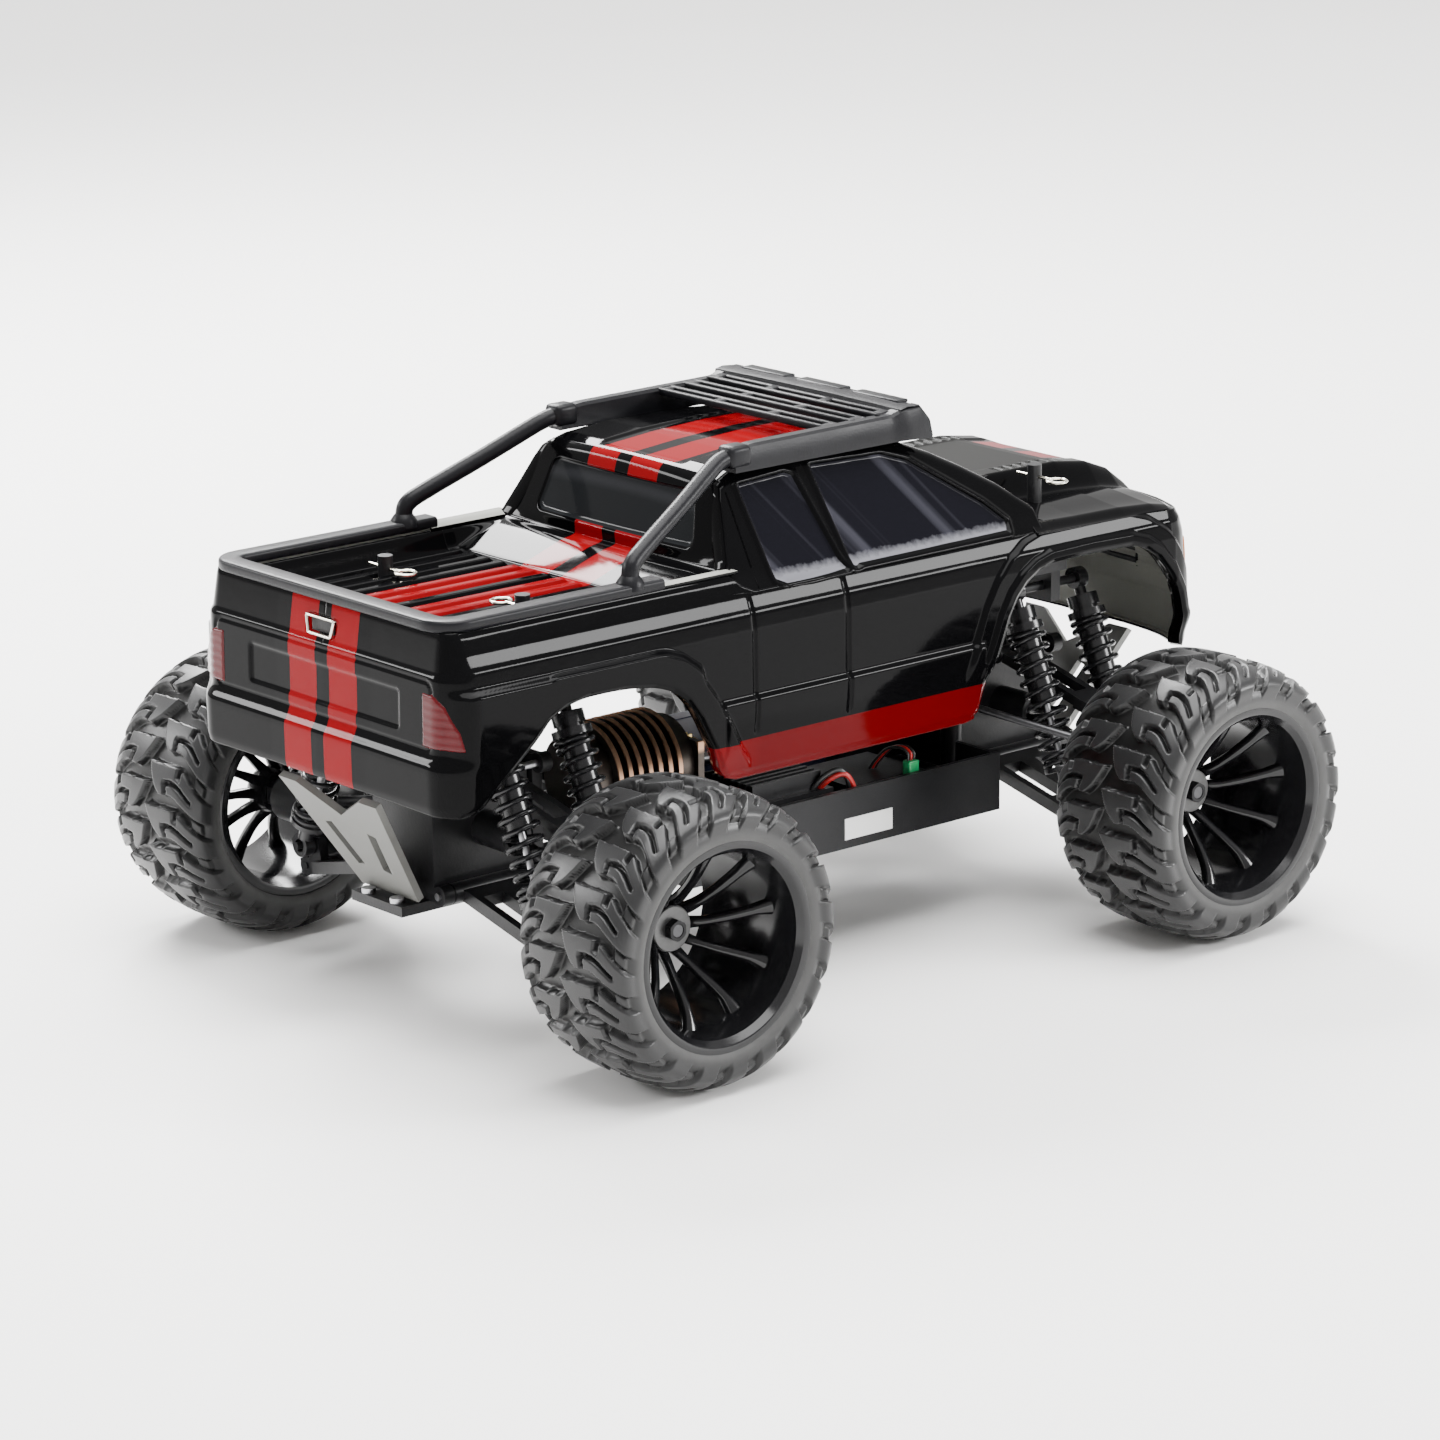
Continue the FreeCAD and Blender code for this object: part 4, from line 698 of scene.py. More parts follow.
def cab_half(side):
    """Half of the cab: side with two windows, roof with a shallow centre channel, and windscreen."""
    rows, masks = [], []
    for y in np.linspace(-47.5, 103.5, 190):
        xs, zs, wall = cab_section(y)
        ys = np.full(xs.shape, y)
        depth = np.maximum(polygon_depth(ys, zs, REAR_WINDOW), polygon_depth(ys, zs, FRONT_WINDOW))
        on_side = np.arange(len(xs)) < wall + 4
        pane = smoothstep(-0.9, 0.6, depth) * on_side
        xs = xs - 1.1 * pane + 0.9 * between((-3.2, -2.2), (-1.2, -0.2), depth) * on_side
        screen_half = 48 + 0.12 * (y - 52)
        screen = box_depth(xs, ys, -screen_half, screen_half, 54.0, 99.0, 6.0)
        glass = smoothstep(-0.7, 0.7, screen) * ~on_side
        channel = falloff(24.5, 26.5, xs) * between((-44, -40), (40, 46), y) * ~on_side
        zs = zs - 0.9 * glass - 0.8 * channel
        rows.append(xyz(xs * side, y, zs))
        masks.append(np.maximum(pane, glass))
    item = grid_object(f"cab_{side}", np.array(rows), PAINT, flip=side > 0)
    point_values(item, "window", np.array(masks))
    return item


def buttress(side):
    """Sloping pillar from the rear corner of the roof down to the bed's rail."""
    rows = []
    bend, flat, drop = (np.linspace(0, 1, count)[1:] for count in (10, 8, 30))
    for y in np.linspace(-61, -46.5, 60):
        top = through(y, (-61, 169.6), (-59.5, 170.6), (-58.0, 173.5), (-54.5, 184.0), (-50.8, 196.4),
                      (-49.0, 200.2), (-46.5, 201.6))
        foot = through(y, (-61, 163.0), (-47, 161.8))
        outer_z = foot + (top - 3.0 - foot) * np.linspace(0, 1, 40)
        outer_x = lean_x(outer_z) + (BELT_X - lean_x(foot)) * falloff(0, 8.0, outer_z - foot)
        outer_x = np.minimum(outer_x, BELT_X)
        top_x = min(lean_x(top), BELT_X)
        flat_x = top_x - 3.5 - flat * 4.0
        flat_z = top + 0.1 - 1.4 * flat ** 3
        xs = np.concatenate([outer_x, arc(outer_x[-1], top_x, top_x - 3.5, bend), flat_x,
                             flat_x[-1] - 2.0 * drop])
        zs = np.concatenate([outer_z, arc(outer_z[-1], top, top + 0.1, bend), flat_z,
                             flat_z[-1] + (161.0 - flat_z[-1]) * drop])
        rows.append(xyz(xs * side, y, zs))
    return grid_object(f"buttress_{side}", np.array(rows), PAINT, flip=side > 0)


def rear_wall():
    """The cab's back wall with its window, between the pillars, and the ramp that leads to it."""
    outline = [(-92.0, 161.2), (-87.0, 161.4), (-84.5, 162.6), (-68.0, 168.2), (-60.5, 169.8), (-58.4, 172.0),
               (-54.8, 182.5), (-50.8, 195.6), (-49.0, 200.4), (-46.5, 202.8)]
    ahead, height = spline(outline, 120).T[:, :, None]
    xs = np.minimum(BED_HALF, lean_x(height) - 3.5) * np.linspace(-1, 1, 170)
    height = np.broadcast_to(height, xs.shape)
    pane_half = 45 - (height - 188) * 0.25
    glass = smoothstep(-0.8, 0.8, box_depth(xs, height, -pane_half, pane_half, 175.8, 196.6, 4.0))
    bow = 3.0 * (1 - (xs / 56.0) ** 2) * smoothstep(168, 176, height)
    crown = 1.6 * (1 - (xs / 47.0) ** 2) * smoothstep(198, 202.6, height)
    kerb = falloff(0.0, 5.0, BED_HALF - np.abs(xs)) * (ahead < -59.0)
    raised = height + kerb * np.maximum(WALL_TOP - height, 0.0)
    points = xyz(xs, ahead - bow + 1.2 * glass, raised + crown)
    item = grid_object("rear_wall", points, PAINT)
    point_values(item, "window", glass)
    return item


def ledge(side):
    """Flat top of the bed's wall between the rail and the cab."""
    ys, share = np.meshgrid(np.linspace(-97, -56.5, 40), np.linspace(0, 1, 12), indexing="ij")
    points = xyz(side * (65.6 + 8.4 * share), ys, WALL_TOP + 0.9 * smoothstep(0.0, 0.5, share))
    return grid_object(f"ledge_{side}", points, PAINT, flip=side > 0)


def bed_floor():
    """Bed floor with lengthwise ribs and a rounded joint to its walls."""
    grid_x, grid_y = np.meshgrid(np.linspace(-67, 67, 330), np.linspace(-196, -85, 150))
    edge = np.minimum(BED_HALF - np.abs(grid_x), grid_y + 195.5)
    pitch = 9.4
    phase = np.abs((grid_x / pitch + 0.5) % 1.0 - 0.5) * pitch
    rib = 2.2 * falloff(1.6, 3.0, phase) * smoothstep(7.5, 10.5, edge) * falloff(-92, -88.5, grid_y)
    points = xyz(grid_x, grid_y, BED_FLOOR + 8.6 * falloff(0.0, 5.0, edge) + rib)
    return grid_object("bed_floor", points, PAINT)


def hood_height(x, y, edge_height, edge_distance):
    """The hood's surface: a raised centre, lower shoulders and rounded sides."""
    reach = np.abs(x)
    centre = through(y, (98, 173.5), (104, 176.0), (112, 177.2), (150, 176.8), (168, 174.2), (180, 169.6),
                     (190, 162), (200, 156), (206, 152))
    shoulder = through(y, (98, 168.5), (108, 167.2), (125, 166.6), (150, 166.2), (168, 165.0), (180, 162.8),
                       (190, 158.5), (204, 154))
    bulge = falloff(34.0, 42.0 + 2.0 * smoothstep(110, 170, y), reach)
    surface = shoulder + (centre - shoulder) * bulge - 2.6 * smoothstep(46, 76, reach)
    surface = edge_height + (surface - edge_height) * smoothstep(0.0, 6.5, edge_distance)
    return surface - 0.7 * falloff(25.0, 27.0, reach) * between((104, 108), (172, 180), y)


def hood_half(side, top_edge):
    """Half of the hood from the windscreen's foot to the shell's top edge, with seven slots."""
    edge_x, edge_y, edge_z = np.abs(top_edge[top_edge[:, 1] > 98]).T
    widest = edge_x.max()
    xs = widest * (1 - (1 - np.linspace(0, 1, 150)) ** 1.15)
    nose = np.flatnonzero(edge_y > 150)
    nose = nose[np.argsort(edge_x[nose])]
    last_y = np.interp(xs, edge_x[nose], edge_y[nose])
    last_z = np.interp(xs, edge_x[nose], edge_z[nose])
    ys = HOOD_START + np.linspace(0, 1, 170)[:, None] * (last_y - HOOD_START)
    grid_x = np.broadcast_to(xs, ys.shape)
    side_z = np.interp(ys, np.sort(edge_y), edge_z[np.argsort(edge_y)])
    to_front = last_y - ys
    to_side = widest - grid_x
    edge_height = np.where(to_front < to_side, last_z, side_z)
    height = hood_height(grid_x, ys, edge_height, np.minimum(to_front, to_side))
    for number in range(7):
        middle = 121.0 + number * 5.2
        slot = box_depth(grid_x, ys, 26.5, 33.0, middle - 1.3, middle + 1.3, 0.9)
        height -= 1.5 * smoothstep(-0.4, 0.6, slot)
    return grid_object(f"hood_{side}", xyz(grid_x * side, ys, height), PAINT, flip=side < 0)


def painted_body():
    """Everything of the body that is one painted sheet."""
    pieces = [rear_wall(), bed_floor()]
    for side in (-1, 1):
        wall, top = side_shell(side)
        pieces += [wall, cab_half(side), buttress(side), hood_half(side, top), ledge(side)]
    for item in pieces:
        if "window" not in item.data.attributes:
            point_values(item, "window", np.zeros(len(item.data.vertices)))
    shell = thickened(welded(joined("painted_shell", pieces), 0.05), SHELL_THICKNESS, INSIDE)
    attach(shell, "chassis")
    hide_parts("body_shell")


# ---------------------------------------------------------------- wheels

TYRE_LOW, TYRE_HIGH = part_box("tyre_front_right")
WHEEL_X = (TYRE_LOW.x + TYRE_HIGH.x) / 2 / MM
WHEEL_Y = (TYRE_LOW.y + TYRE_HIGH.y) / 2 / MM
AXLE_Z = (TYRE_LOW.z + TYRE_HIGH.z) / 2 / MM
LUGS = 20               # tread blocks round each side
TREAD_RADIUS = 53.2
LUG_RISE = 4.0
LARGEST_RADIUS = 57.45
PITCH = 2 * math.pi * TREAD_RADIUS / LUGS
SPOKES = 10
HUB_RADIUS = 8.6
SPOKE_REACH = 27.0


def carcass_profile():
    """Half of the tyre's cross-section from the crown's middle to the rim, as (across, radius)."""
    points = [(0, 53.4), (10, 53.2), (18, 52.5), (24, 50.9), (27.6, 48.2), (29.2, 45.2), (29.4, 42.6),
              (28.6, 40.4), (27.2, 39.0), (25.6, 38.3), (23.5, 38.0)]
    return spline(points, 96)


def lug_height(around, across):
    """Tread blocks: hooked, slanted blocks on each side, staggered by half a pitch."""
    reach = np.abs(across)
    hand = np.where(across >= 0, 1.0, -1.0)
    middle = 0.50 * reach + 2.3 * np.sin(reach * 2 * math.pi / 25.0)
    local = (around - hand * PITCH / 4 - middle + PITCH / 2) % PITCH - PITCH / 2
    half = through(reach, (0, 0), (1.2, 1.2), (4, 3.8), (9, 6.2), (15, 5.8), (21, 6.2), (26, 5.6), (30, 4.8))
    block = smoothstep(-0.25, 0.4, half - np.abs(local))
    long_slot = smoothstep(-0.25, 0.4, 0.95 - np.abs(local - 0.9))
    long_slot = long_slot * between((10.2, 11.0), (24.6, 25.4), reach)
    hook = smoothstep(-0.25, 0.4, 0.95 - np.abs(reach - 11.4 - 0.25 * local)) * smoothstep(0.2, 0.8, local)
    notch = smoothstep(-0.25, 0.4, 1.1 - np.abs(reach - 18.6)) * falloff(-2.4, -1.6, local)
    cuts = np.maximum(np.maximum(long_slot, hook), notch)
    knob = smoothstep(-0.3, 0.5, 2.5 - np.abs((local + PITCH) % PITCH - PITCH / 2))
    knob = knob * between((24.5, 25.3), (28.6, 29.6), reach)
    return np.maximum(block * (1 - 0.8 * cuts), 0.6 * knob)


def tyre_mesh(name, hand):
    """A tyre about the X axis at the origin; the hand flips the tread's slant."""
    half = carcass_profile()
    path = np.vstack([half[::-1] * [-1, 1], half[1:]])
    run = running_length(path)
    marks = np.linspace(0, run[-1], 190)
    path = np.stack([np.interp(marks, run, path[:, axis]) for axis in (0, 1)], axis=1)
    ahead = unit(np.gradient(path, axis=0))
    reach = np.abs(marks - marks[-1] / 2)
    angles = np.linspace(0, 2 * math.pi, LUGS * 36, endpoint=False)[:, None]
    lugs = lug_height(angles * TREAD_RADIUS, np.sign(path[:, 0]) * reach)
    tread = np.maximum(lugs * falloff(28.2, 33.5, reach), 0.0)
    rise = LUG_RISE * tread * through(reach, (0, 1.0), (20, 1.0), (27, 0.85), (34, 0.4))
    wall_ring = 0.35 * np.exp(-((reach - 42.0) / 0.8) ** 2)
    across = path[:, 0] - ahead[:, 1] * rise + np.sign(path[:, 0]) * wall_ring
    radius = np.minimum(path[:, 1] + ahead[:, 0] * rise, LARGEST_RADIUS)
    points = xyz(across * hand, radius * np.cos(angles), radius * np.sin(angles))
    item = grid_object(name, points, RUBBER, wrap_rows=True, flip=hand > 0)
    # painted shade: marks the grooves between the lugs, which the material colours near black
    point_values(item, "groove_shade", (1 - np.clip(tread * 1.3, 0, 1)) * falloff(29.0, 33.0, reach))
    point_values(item, "wall", np.broadcast_to(smoothstep(31.0, 37.0, reach), tread.shape))
    return item


def spoke(number, hand):
    """One slim curved spoke from the hub to the barrel."""
    turn = np.linspace(0, 2 * math.pi, 16, endpoint=False)
    part = np.linspace(0, 1, 26)[:, None]
    radius = HUB_RADIUS + part * SPOKE_REACH
    sweep = 2 * math.pi * number / SPOKES + 0.16 * np.sin(part * math.pi * 0.6)
    depth = -8.0 + 21.0 * part ** 0.85 + 1.5 * np.sin(part * math.pi)
    wide = through(part, (0, 2.4), (0.2, 1.7), (0.75, 2.0), (1.0, 3.4))
    deep = through(part, (0, 3.6), (0.3, 2.6), (1.0, 2.6))
    angle = sweep + wide * np.sign(np.cos(turn)) * np.abs(np.cos(turn)) ** 0.7 / radius
    front = deep * np.sign(np.sin(turn)) * np.abs(np.sin(turn)) ** 0.8
    points = xyz(hand * (depth + front), radius * np.cos(angle), radius * np.sin(angle))
    return grid_object(f"spoke_{number}", points, RIM, wrap_columns=True, flip=hand > 0)


def hexagon_bar(name, low, high, across_flats, bore, material, hand):
    """A hexagonal nut with chamfered corners and a hole."""
    angles = np.radians(np.arange(0, 360, 5))
    flat = across_flats / 2 / np.cos((angles + math.pi / 6) % (math.pi / 3) - math.pi / 6)
    top = np.minimum(flat, across_flats / 2 * 1.06)
    hole = np.full(flat.shape, bore)
    rings = [(low, hole), (low, flat), (high - 0.4, flat), (high, top), (high, hole), (low, hole)]
    along, radii = (np.array([ring[part] for ring in rings]) for part in (0, 1))
    points = xyz(hand * along[:, None], radii * np.cos(angles), radii * np.sin(angles))
    return sharpened(grid_object(name, points, material, wrap_columns=True, flip=hand > 0), 25)


def rim_mesh(name, hand):
    """Deep rim about the X axis at the origin: barrel with rolled lips, spokes, hub, axle and nut."""
    barrel = [(-28.5, 36.2), (-28.8, 37.6), (-28.8, 39.4), (-28.2, 40.3), (-27.2, 40.2), (-26.8, 38.6),
              (-26.6, 38.0), (25.8, 38.0), (26.2, 38.8), (26.6, 40.6), (27.6, 41.2), (28.6, 40.6),
              (28.9, 39.2), (28.4, 37.6), (26.0, 35.6), (20.0, 34.6), (4.0, 34.0), (-10.0, 34.4),
              (-20.0, 35.2)]
    hub = [(-13.0, 3.1), (-13.0, 8.4), (-10.0, 9.4), (-5.4, 9.6), (-4.0, 9.0), (-4.0, 3.1)]
    washer = [(-4.0, 3.05), (-4.0, 8.8), (-3.2, 8.8), (-3.0, 8.5), (-3.0, 3.05)]
    axle = [(-26.5, 0.0), (-26.5, 3.0), (-0.6, 3.0), (0.0, 2.4), (0.0, 0.0)]
    cup = [(-37.5, 5.0), (-37.5, 7.0), (-28.5, 7.0), (-28.5, 3.0), (-32.0, 3.0), (-32.0, 5.0)]
    pieces = []
    for tag, profile, material in (("barrel", barrel, RIM), ("hub", hub, RIM), ("washer", washer, WASHER),
                                   ("axle", axle, DARK_STEEL), ("cup", cup, STEEL)):
        shape = np.array(profile, float) * [hand, 1]
        pieces.append(turned(f"{name}_{tag}", shape[::-1] if hand < 0 else shape, material, (0, 0, 0),
                             steps=128 if tag == "barrel" else 48))
    pieces += [spoke(number, hand) for number in range(SPOKES)]
    pieces.append(hexagon_bar(f"{name}_drive", -23.5, -13.2, 12, 3.05, CHASSIS, hand))
    pieces.append(hexagon_bar(f"{name}_nut", -3.0, 0.3, 7.5, 2.6, CHASSIS, hand))
    return joined(name, pieces)


def wheels():
    """Tyres and rims, made once for each side and shared by the front and rear wheel."""
    made = {}
    for corner, (side, end) in CORNERS.items():
        for kind, build in (("tyre", tyre_mesh), ("rim", rim_mesh)):
            if (kind, side) in made:
                item = made[kind, side].copy()
                bpy.context.scene.collection.objects.link(item)
            else:
                item = made[kind, side] = build(f"{kind}_look", side)
            item.name = f"{kind}_look_{corner}"
            item.location = Vector((side * WHEEL_X, end * WHEEL_Y, AXLE_Z)) * MM
            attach(item, f"wheel_{corner}")
            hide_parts(f"{kind}_{corner}")


# ---------------------------------------------------------------- springs

SHOCK_TOP = Vector((43.0, 0.0, 128.0))
SHOCK_FOOT = Vector((78.0, 0.0, 48.04))
SHOCK_ROW = 18.0        # each corner's two shocks stand this far before and behind the axle
SPRING_START = 17.2     # from the shock's top to the spring's first turn
SPRING_END = 13.2       # from the spring's last turn to the shock's foot
SPRING_LENGTH = (SHOCK_FOOT - SHOCK_TOP).length - SPRING_START - SPRING_END
TURNS, WIRE, COIL_RADIUS = 11.5, 1.15, 7.1


def coil(top, axis, row):
    """A round wire wound between the collar and the perch of one shock, with closed end turns."""
    across = axis.cross(Vector((0, 1, 0))).normalized()
    other = axis.cross(across)
    share = np.linspace(0, 1, 500)
    climb = through(share, (0, 0.0), (0.08, 0.024), (0.92, 0.976), (1, 1.0))
    angle = (share * TURNS * 2 * math.pi)[:, None]
    along = WIRE + climb[:, None] * (SPRING_LENGTH - 2 * WIRE) + SPRING_START
    route = (np.array(top) + np.array(axis) * along
             + COIL_RADIUS * (np.cos(angle) * np.array(across) + np.sin(angle) * np.array(other)))
    return tube(f"coil_{row}", route, WIRE, SPRING, sides=8)


def springs():
    """Both springs of a corner in one piece that shortens with that corner's shocks."""
    for corner, (side, end) in CORNERS.items():
        top = Vector((side * SHOCK_TOP.x, end * AXLE_Y, SHOCK_TOP.z))
        foot = Vector((side * SHOCK_FOOT.x, end * AXLE_Y, SHOCK_FOOT.z))
        axis = (foot - top).normalized()
        coils = [coil(top + Vector((0, row * SHOCK_ROW, 0)), axis, row) for row in (-1, 1)]
        item = joined(f"spring_look_{corner}", coils)
        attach(item, f"shock_body_{corner}")
        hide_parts(f"shock_spring_{corner}")
        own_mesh(item)


# ---------------------------------------------------------------- trim

RAIL_LEVEL = 172.2
RAIL_X, RAIL_REAR, RAIL_FRONT = 70.5, -196.0, -94.0
RAIL_ROUND = 9.0
BAR_FOOT_Y = -107.3
BAR_HEAD = (53.2, -40.0, 210.6)


def bed_trim():
    """Rail round the top of the bed, and the two roll bars with their feet and roof sockets."""
    half = [(x, RAIL_REAR) for x in np.linspace(0, 58, 12)]
    half += [(RAIL_X - RAIL_ROUND * (1 - math.sin(turn)), RAIL_REAR + RAIL_ROUND * (1 - math.cos(turn)))
             for turn in np.radians(np.linspace(0, 90, 12))]
    half += [(RAIL_X, y) for y in np.linspace(-183, RAIL_FRONT, 24)]
    half = np.array([(x, y, RAIL_LEVEL) for x, y in half])
    route = np.vstack([half[::-1], half[1:] * [-1, 1, 1]])
    pieces = [rounded_bar("rail", route, 9.4, 4.6, 1.5, TRIM)]
    bar = spline([(RAIL_X, BAR_FOOT_Y, 171.5), (RAIL_X, -107.2, 177.0), (69.9, -105.2, 181.6),
                  (67.4, -96.5, 186.4), (61.0, -74.0, 197.0), (55.6, -55.5, 206.2), (54.0, -49.5, 208.9),
                  (53.4, -44.5, 210.2), (53.2, -38.0, 210.6)], 80)
    foot = [(172.0, 0.0), (172.0, 5.6), (174.6, 5.4), (176.4, 4.2), (177.4, 3.4), (177.4, 0.0)]
    for side in (-1, 1):
        place = np.array([side, 1, 1])
        pieces.append(tube(f"roll_bar_{side}", bar * place, 3.5, TRIM, sides=20))
        pieces.append(turned(f"bar_foot_{side}", foot, TRIM, (side * RAIL_X, BAR_FOOT_Y, 0), "z", 32, False))
        pieces.append(bevelled_box(f"bar_socket_{side}", BAR_HEAD * place, (9.4, 11, 9.0), 2.2, TRIM))
    rail = joined("bed_trim", pieces)
    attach(rail, "chassis")
    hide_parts("bed_rail")


def slotted_slat(name, y, z, lean):
    """A flat slat with three long slots, open right through."""
    turn = Matrix.Rotation(math.radians(lean), 3, "X")
    edges = [bevelled_box(f"{name}_edge{edge}", (0, y + edge * 3.1, z), (104, 2.4, 3.0), 0.7, TRIM, turn)
             for edge in (-1, 1)]
    return edges + [bevelled_box(f"{name}_bridge{number}", (x, y, z), (5.0, 6.4, 2.6), 0.7, TRIM, turn)
                    for number, x in enumerate(np.linspace(-49, 49, 4))]


def rack_rail(side):
    """One flared side rail of the rack, closed by a flat cap at each end."""
    rows = []
    for y in np.linspace(-43, 60, 60):
        top = through(y, (-43, 213.2), (-32, 214.6), (40, 215.2), (45, 217.0), (55, 217.6), (60, 212.0))
        low = through(y, (-43, 204.6), (48, 204.6), (60, 203.6))
        middle = through(y, (-43, 53.0), (40, 53.0), (48, 54.2), (60, 53.6))
        ring = [(-3.6, low + 0.6), (-3.6, top - 1.2), (-2.6, top), (1.6, top), (2.8, top - 1.0),
                (3.4, top - 3.0), (4.6, low + 1.4), (4.4, low), (-2.6, low)]
        rows.append([(side * (middle + x), y, z) for x, z in ring])
    rail = grid_object(f"rack_rail_{side}", np.array(rows), TRIM, wrap_columns=True, flip=side > 0)
    caps = [mesh_object(f"rack_cap_{tip}_{side}", ring, [range(len(ring))], TRIM, smooth=False)
            for tip, ring in (("rear", rows[0]), ("front", rows[-1]))]
    return [sharpened(rail, 28), *caps]


def roof_rack():
    """Two flared rails, three slotted slats and the large sloping block over the windscreen."""
    pieces = rack_rail(-1) + rack_rail(1)
    for tag, y, z, lean in (("a", 12.5, 213.4, 0), ("b", 26.5, 213.8, 0), ("c", 39.5, 214.6, 6)):
        pieces += slotted_slat(f"slat_{tag}", y, z, lean)
    block = []
    for x in np.linspace(-56.5, 56.5, 60):
        bow = 1.0 - (x / 56.5) ** 2
        ring = [(43.2, 213.4), (44.2, 217.0 + 0.5 * bow), (48.0, 217.8 + 0.5 * bow),
                (54.5 + bow, 217.2 + 0.5 * bow), (60.0 + 2.0 * bow, 209.0), (59.5 + 2.0 * bow, 206.4),
                (56.5, 207.5), (49.0, 211.0)]
        block.append([(x, y, z) for y, z in ring])
    pieces.append(sharpened(grid_object("rack_block", np.array(block), TRIM, wrap_columns=True), 28))
    pieces += [bevelled_box(f"rack_pad_{x}", (x, 53.4, 217.7), (27.0, 6.4, 1.6), 0.7, TRIM)
               for x in (-34, 0, 34)]
    rack = joined("roof_rack_look", pieces)
    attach(rack, "chassis")
    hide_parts("roof_rack")


# Outline of a tail lamp, and each front lamp's start, end and material, along the shell's outline.
LAMP_OUTLINE = [(-217.4, 126.0), (-194.5, 126.0), (-196.5, 134.0), (-203.0, 143.5), (-209.0, 147.2),
                (-217.4, 147.6)]
FRONT_LAMPS = {"head": (203.0, 236.0, HEAD_LENS), "marker": (187.0, 202.0, AMBER_LENS)}
LAMP_LOW, LAMP_HIGH = 127.0, 147.0


def lamp_sheet(name, side, run, height, proud, material):
    """A lens that follows the shell's wall and stands proud of it."""
    points = wall_points(run, height, shell_offset(run, height) + proud) * [side, 1, 1]
    return thickened(grid_object(name, points, material, flip=side < 0), 0.8)


def tail_lamps():
    """Ribbed tail lamps that wrap the corners."""
    run, height = np.meshgrid(np.linspace(-218.4, -193.5, 60), np.linspace(125.0, 148.4, 54))
    depth = polygon_depth(run, height, LAMP_OUTLINE)
    rib = 0.07 * np.cos(height * 2 * math.pi / 3.2)
    proud = 1.2 * smoothstep(-0.1, 1.3, depth) + rib * smoothstep(1.0, 2.0, depth) - 0.6
    tail = joined("tail_lamps", [lamp_sheet(f"tail_lamp_{side}", side, run, height, proud, TAIL_LENS)
                                 for side in (-1, 1)])
    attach(tail, "chassis")


def nose_lamps():
    """Headlamps, markers and the grille's bars."""
    front = []
    for side in (-1, 1):
        for tag, (start, end, material) in FRONT_LAMPS.items():
            run, height = np.meshgrid(np.linspace(start, end, 40), np.linspace(LAMP_LOW, LAMP_HIGH, 30))
            depth = box_depth(run, height, start, end, LAMP_LOW, LAMP_HIGH, 2.5)
            proud = 0.8 * smoothstep(-0.1, 1.4, depth) - 0.35
            front.append(lamp_sheet(f"{tag}_lamp_{side}", side, run, height, proud, material))
    for number in range(5):
        z = 126.5 + number * 5.2
        ahead = through(z, (126, 201.6), (148, 200.2))
        route = [(x, ahead - 0.0012 * x * x, z) for x in np.linspace(-34, 34, 24)]
        front.append(rounded_bar(f"grille_bar_{number}", route, 2.4, 2.6, 0.8, TRIM))
    for x in (-34, 0, 34):
        route = [(x, through(z, (124, 202.4), (150, 200.6)) - 0.0012 * x * x, z)
                 for z in np.linspace(124, 149.5, 8)]
        front.append(tube(f"grille_post_{x}", route, 1.3, TRIM, sides=10))
    nose = joined("nose_lamps", front)
    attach(nose, "chassis")


def tailgate_handle():
    """A wire ring round a shallow cup; the ring leans with the tailgate."""
    corners = [(-10.2, 163.2), (-8.4, 156.6), (5.4, 156.6), (7.2, 163.2), (-10.2, 163.2)]
    loop = []
    for (ax, az), (bx, bz) in zip(corners[:-1], corners[1:]):
        for part in np.linspace(0.03, 0.97, 12):
            x, z = ax + (bx - ax) * part, az + (bz - az) * part
            loop.append((x, -199.6 - (163.2 - z) * 0.12, z))
    ring = tube("gate_frame", loop + loop[:1], 0.6, CLIP, sides=10)
    cup = bevelled_box("gate_cup", (-1.5, -198.2, 160.0), (14.0, 0.8, 5.6), 0.35, CHASSIS)
    both = joined("tailgate_handle", [ring, cup])
    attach(both, "chassis")


def small_fittings():
    """Blank sticker on the tub's side, and the leads that show above its edge."""
    sticker = bevelled_box("tub_sticker", (62.15, 21.6, 52.0), (0.35, 25.6, 8.8), 0.12, LABEL)
    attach(sticker, "chassis")
    red = [(50, 4, 66), (54, 8, 71.5), (57.2, 13, 73.4), (58.0, 17, 68), (57.6, 19, 60), (55.5, 19, 52)]
    black = [(50, 0, 66), (53, 5, 72.5), (56, 11, 75.4), (57.2, 15, 70), (55.6, 17, 60), (53.5, 17, 52)]
    pieces = [tube("red_lead", spline(red, 60), 1.15, WIRE_RED),
              tube("black_lead", spline(black, 60), 1.15, WIRE_BLACK),
              bevelled_box("plug", (56.6, 49.6, 67.0), (4.4, 5.4, 10.4), 0.6, WIRE_GREEN)]
    for number, tint in enumerate((WIRE_BLACK, WIRE_RED, WIRE_BLACK)):
        y = 48.0 + number * 1.6
        route = [(56.6, y, 72), (56.4, y, 75), (53, y - 1, 77), (47, y - 3, 75.6), (42, y - 5, 70),
                 (40, y - 6, 66.5)]
        pieces.append(tube(f"thin_lead_{number}", spline(route, 40), 0.6, tint, sides=8))
    leads = joined("leads", pieces)
    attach(leads, "chassis")


# ---------------------------------------------------------------- finishes of the CAD nodes

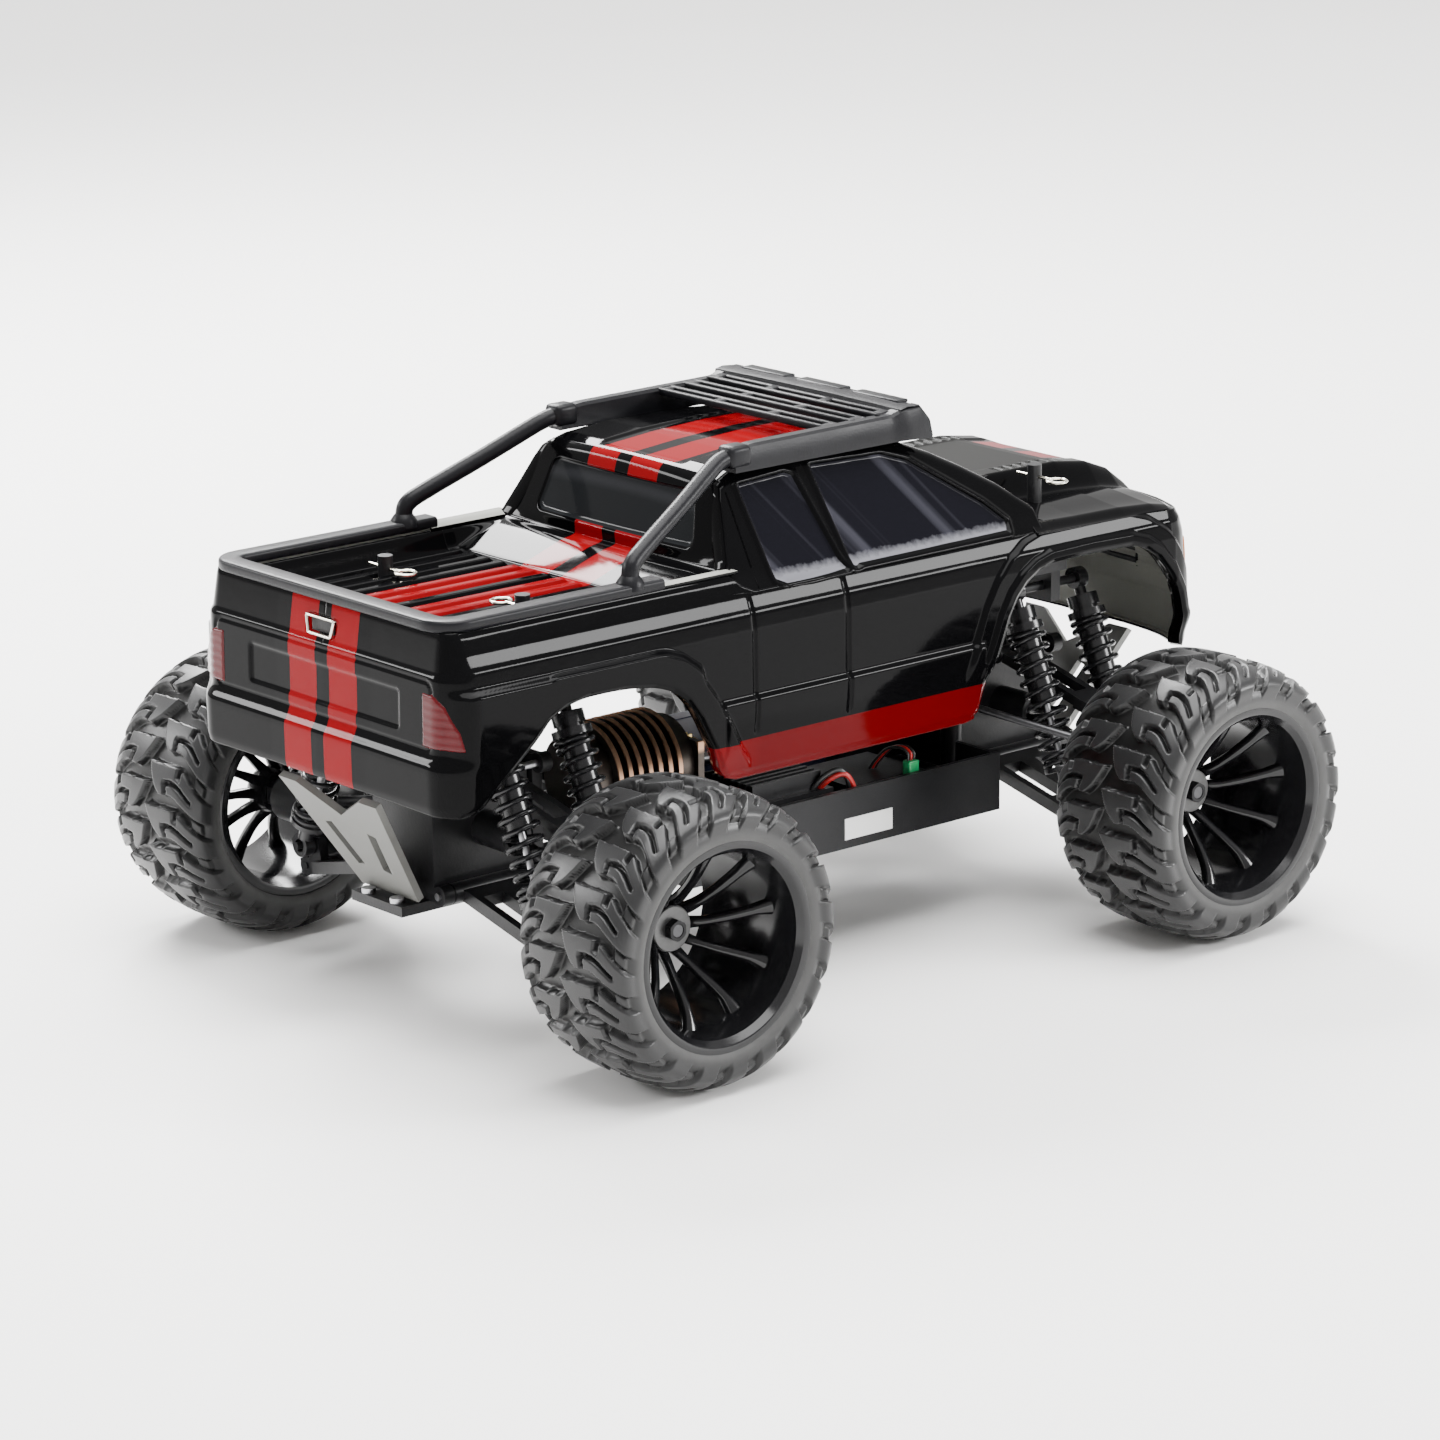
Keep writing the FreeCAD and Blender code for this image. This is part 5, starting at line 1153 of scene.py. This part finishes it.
FINISHES = {
    "front_bumper": SKID, "rear_skid_plate": SKID, "motor_pinion": BRASS, "motor": SINK, "battery_pack": WRAP,
    "body_clips": CLIP, "hinge_pins_and_screws": STEEL, "servo_saver": ARM, "idler_arm": ARM,
    "relay_rod": DARK_STEEL, "center_drive": STEEL,
    "lower_arm": ARM, "upper_arm": ARM, "rear_hub": ARM, "caster_block": ARM, "knuckle": ARM,
    "tie_rod": DARK_STEEL, "driveshaft": DARK_STEEL, "shock_body": SHOCK, "shock_rod": ROD, "tyre": RUBBER,
    "rim": RIM, "shock_spring": SPRING,
}


def finish_nodes():
    """Each CAD node takes the finish whose key its name starts with, and chassis plastic if there is none."""
    for name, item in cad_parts.items():
        family = next((key for key in FINISHES if name.startswith(key)), None)
        item.data.materials.clear()
        item.data.materials.append(FINISHES.get(family, CHASSIS))


# ---------------------------------------------------------------- floor, light and camera

FLOOR_HALF = 6000
SOFT_WHITE = (1.0, 0.99, 0.98)


def studio():
    """A pale paper floor with a painted glow that rises with distance from the truck, a pale surround and four
    soft lights.
    """
    corners = [(x * FLOOR_HALF, y * FLOOR_HALF, 0) for x, y in ((-1, -1), (1, -1), (1, 1), (-1, 1))]
    n = Nodes("floor_paper")
    # painted light: the floor glows more the farther it lies from the truck, keeping the shade near it
    n.set(Base_Color=n.mix(n.noise(2.0, 2.0), (0.90, 0.895, 0.885), (0.93, 0.925, 0.915)), Roughness=0.7,
          Emission_Strength=n.ramp(n.length(n.x, n.y), 0.7, 2.6, 0.0, 0.9), Emission_Color=(*SOFT_WHITE, 1))
    floor = mesh_object("floor", corners, [(0, 1, 2, 3)], n.material)
    world = bpy.data.worlds.new("studio")
    world.use_nodes = True
    sky = world.node_tree.nodes["Background"].inputs
    sky["Color"].default_value = (*SOFT_WHITE, 1)
    sky["Strength"].default_value = 1.1
    bpy.context.scene.world = world
    for name, place, aim, size_x, size_y, power in (
            ("overhead", (0.2, 0.1, 2.3), (0.0, 0.0, 0.1), 2.6, 2.0, 165),
            ("ramp_card", (-1.45, 0.40, 1.35), (0.0, -0.07, 0.17), 1.0, 0.6, 95),
            ("shoulder_card", (1.75, 1.50, 0.86), (0.0, 0.0, 0.16), 0.9, 0.36, 55),
            ("tail_card", (-1.7, -1.35, 0.95), (0.0, -0.2, 0.12), 0.9, 0.22, 26)):
        light = bpy.data.lights.new(name, "AREA")
        light.shape = "RECTANGLE"
        light.size, light.size_y, light.energy = size_x, size_y, power
        lamp = bpy.data.objects.new(name, light)
        lamp.location = place
        lamp.rotation_euler = (Vector(aim) - Vector(place)).to_track_quat("-Z", "Y").to_euler()
        bpy.context.scene.collection.objects.link(lamp)


def camera():
    """The photo's viewpoint, solved from its wheels."""
    data = bpy.data.cameras.new("camera")
    data.sensor_width = 36
    data.lens = 130.9
    data.clip_start, data.clip_end = 0.05, 60
    item = bpy.data.objects.new("camera", data)
    yaw, pitch, roll = math.radians(49.57), math.radians(15.3), math.radians(-0.53)
    turn = (Matrix.Rotation(yaw, 4, "Z") @ Matrix.Rotation(math.pi / 2 - pitch, 4, "X")
            @ Matrix.Rotation(roll, 4, "Z"))
    item.matrix_world = Matrix.Translation(Vector((1555, -1328, 646)) * MM) @ turn
    bpy.context.scene.collection.objects.link(item)
    bpy.context.scene.camera = item


finish_nodes()
wheels()
springs()
painted_body()
bed_trim()
roof_rack()
tail_lamps()
nose_lamps()
tailgate_handle()
small_fittings()
studio()
camera()
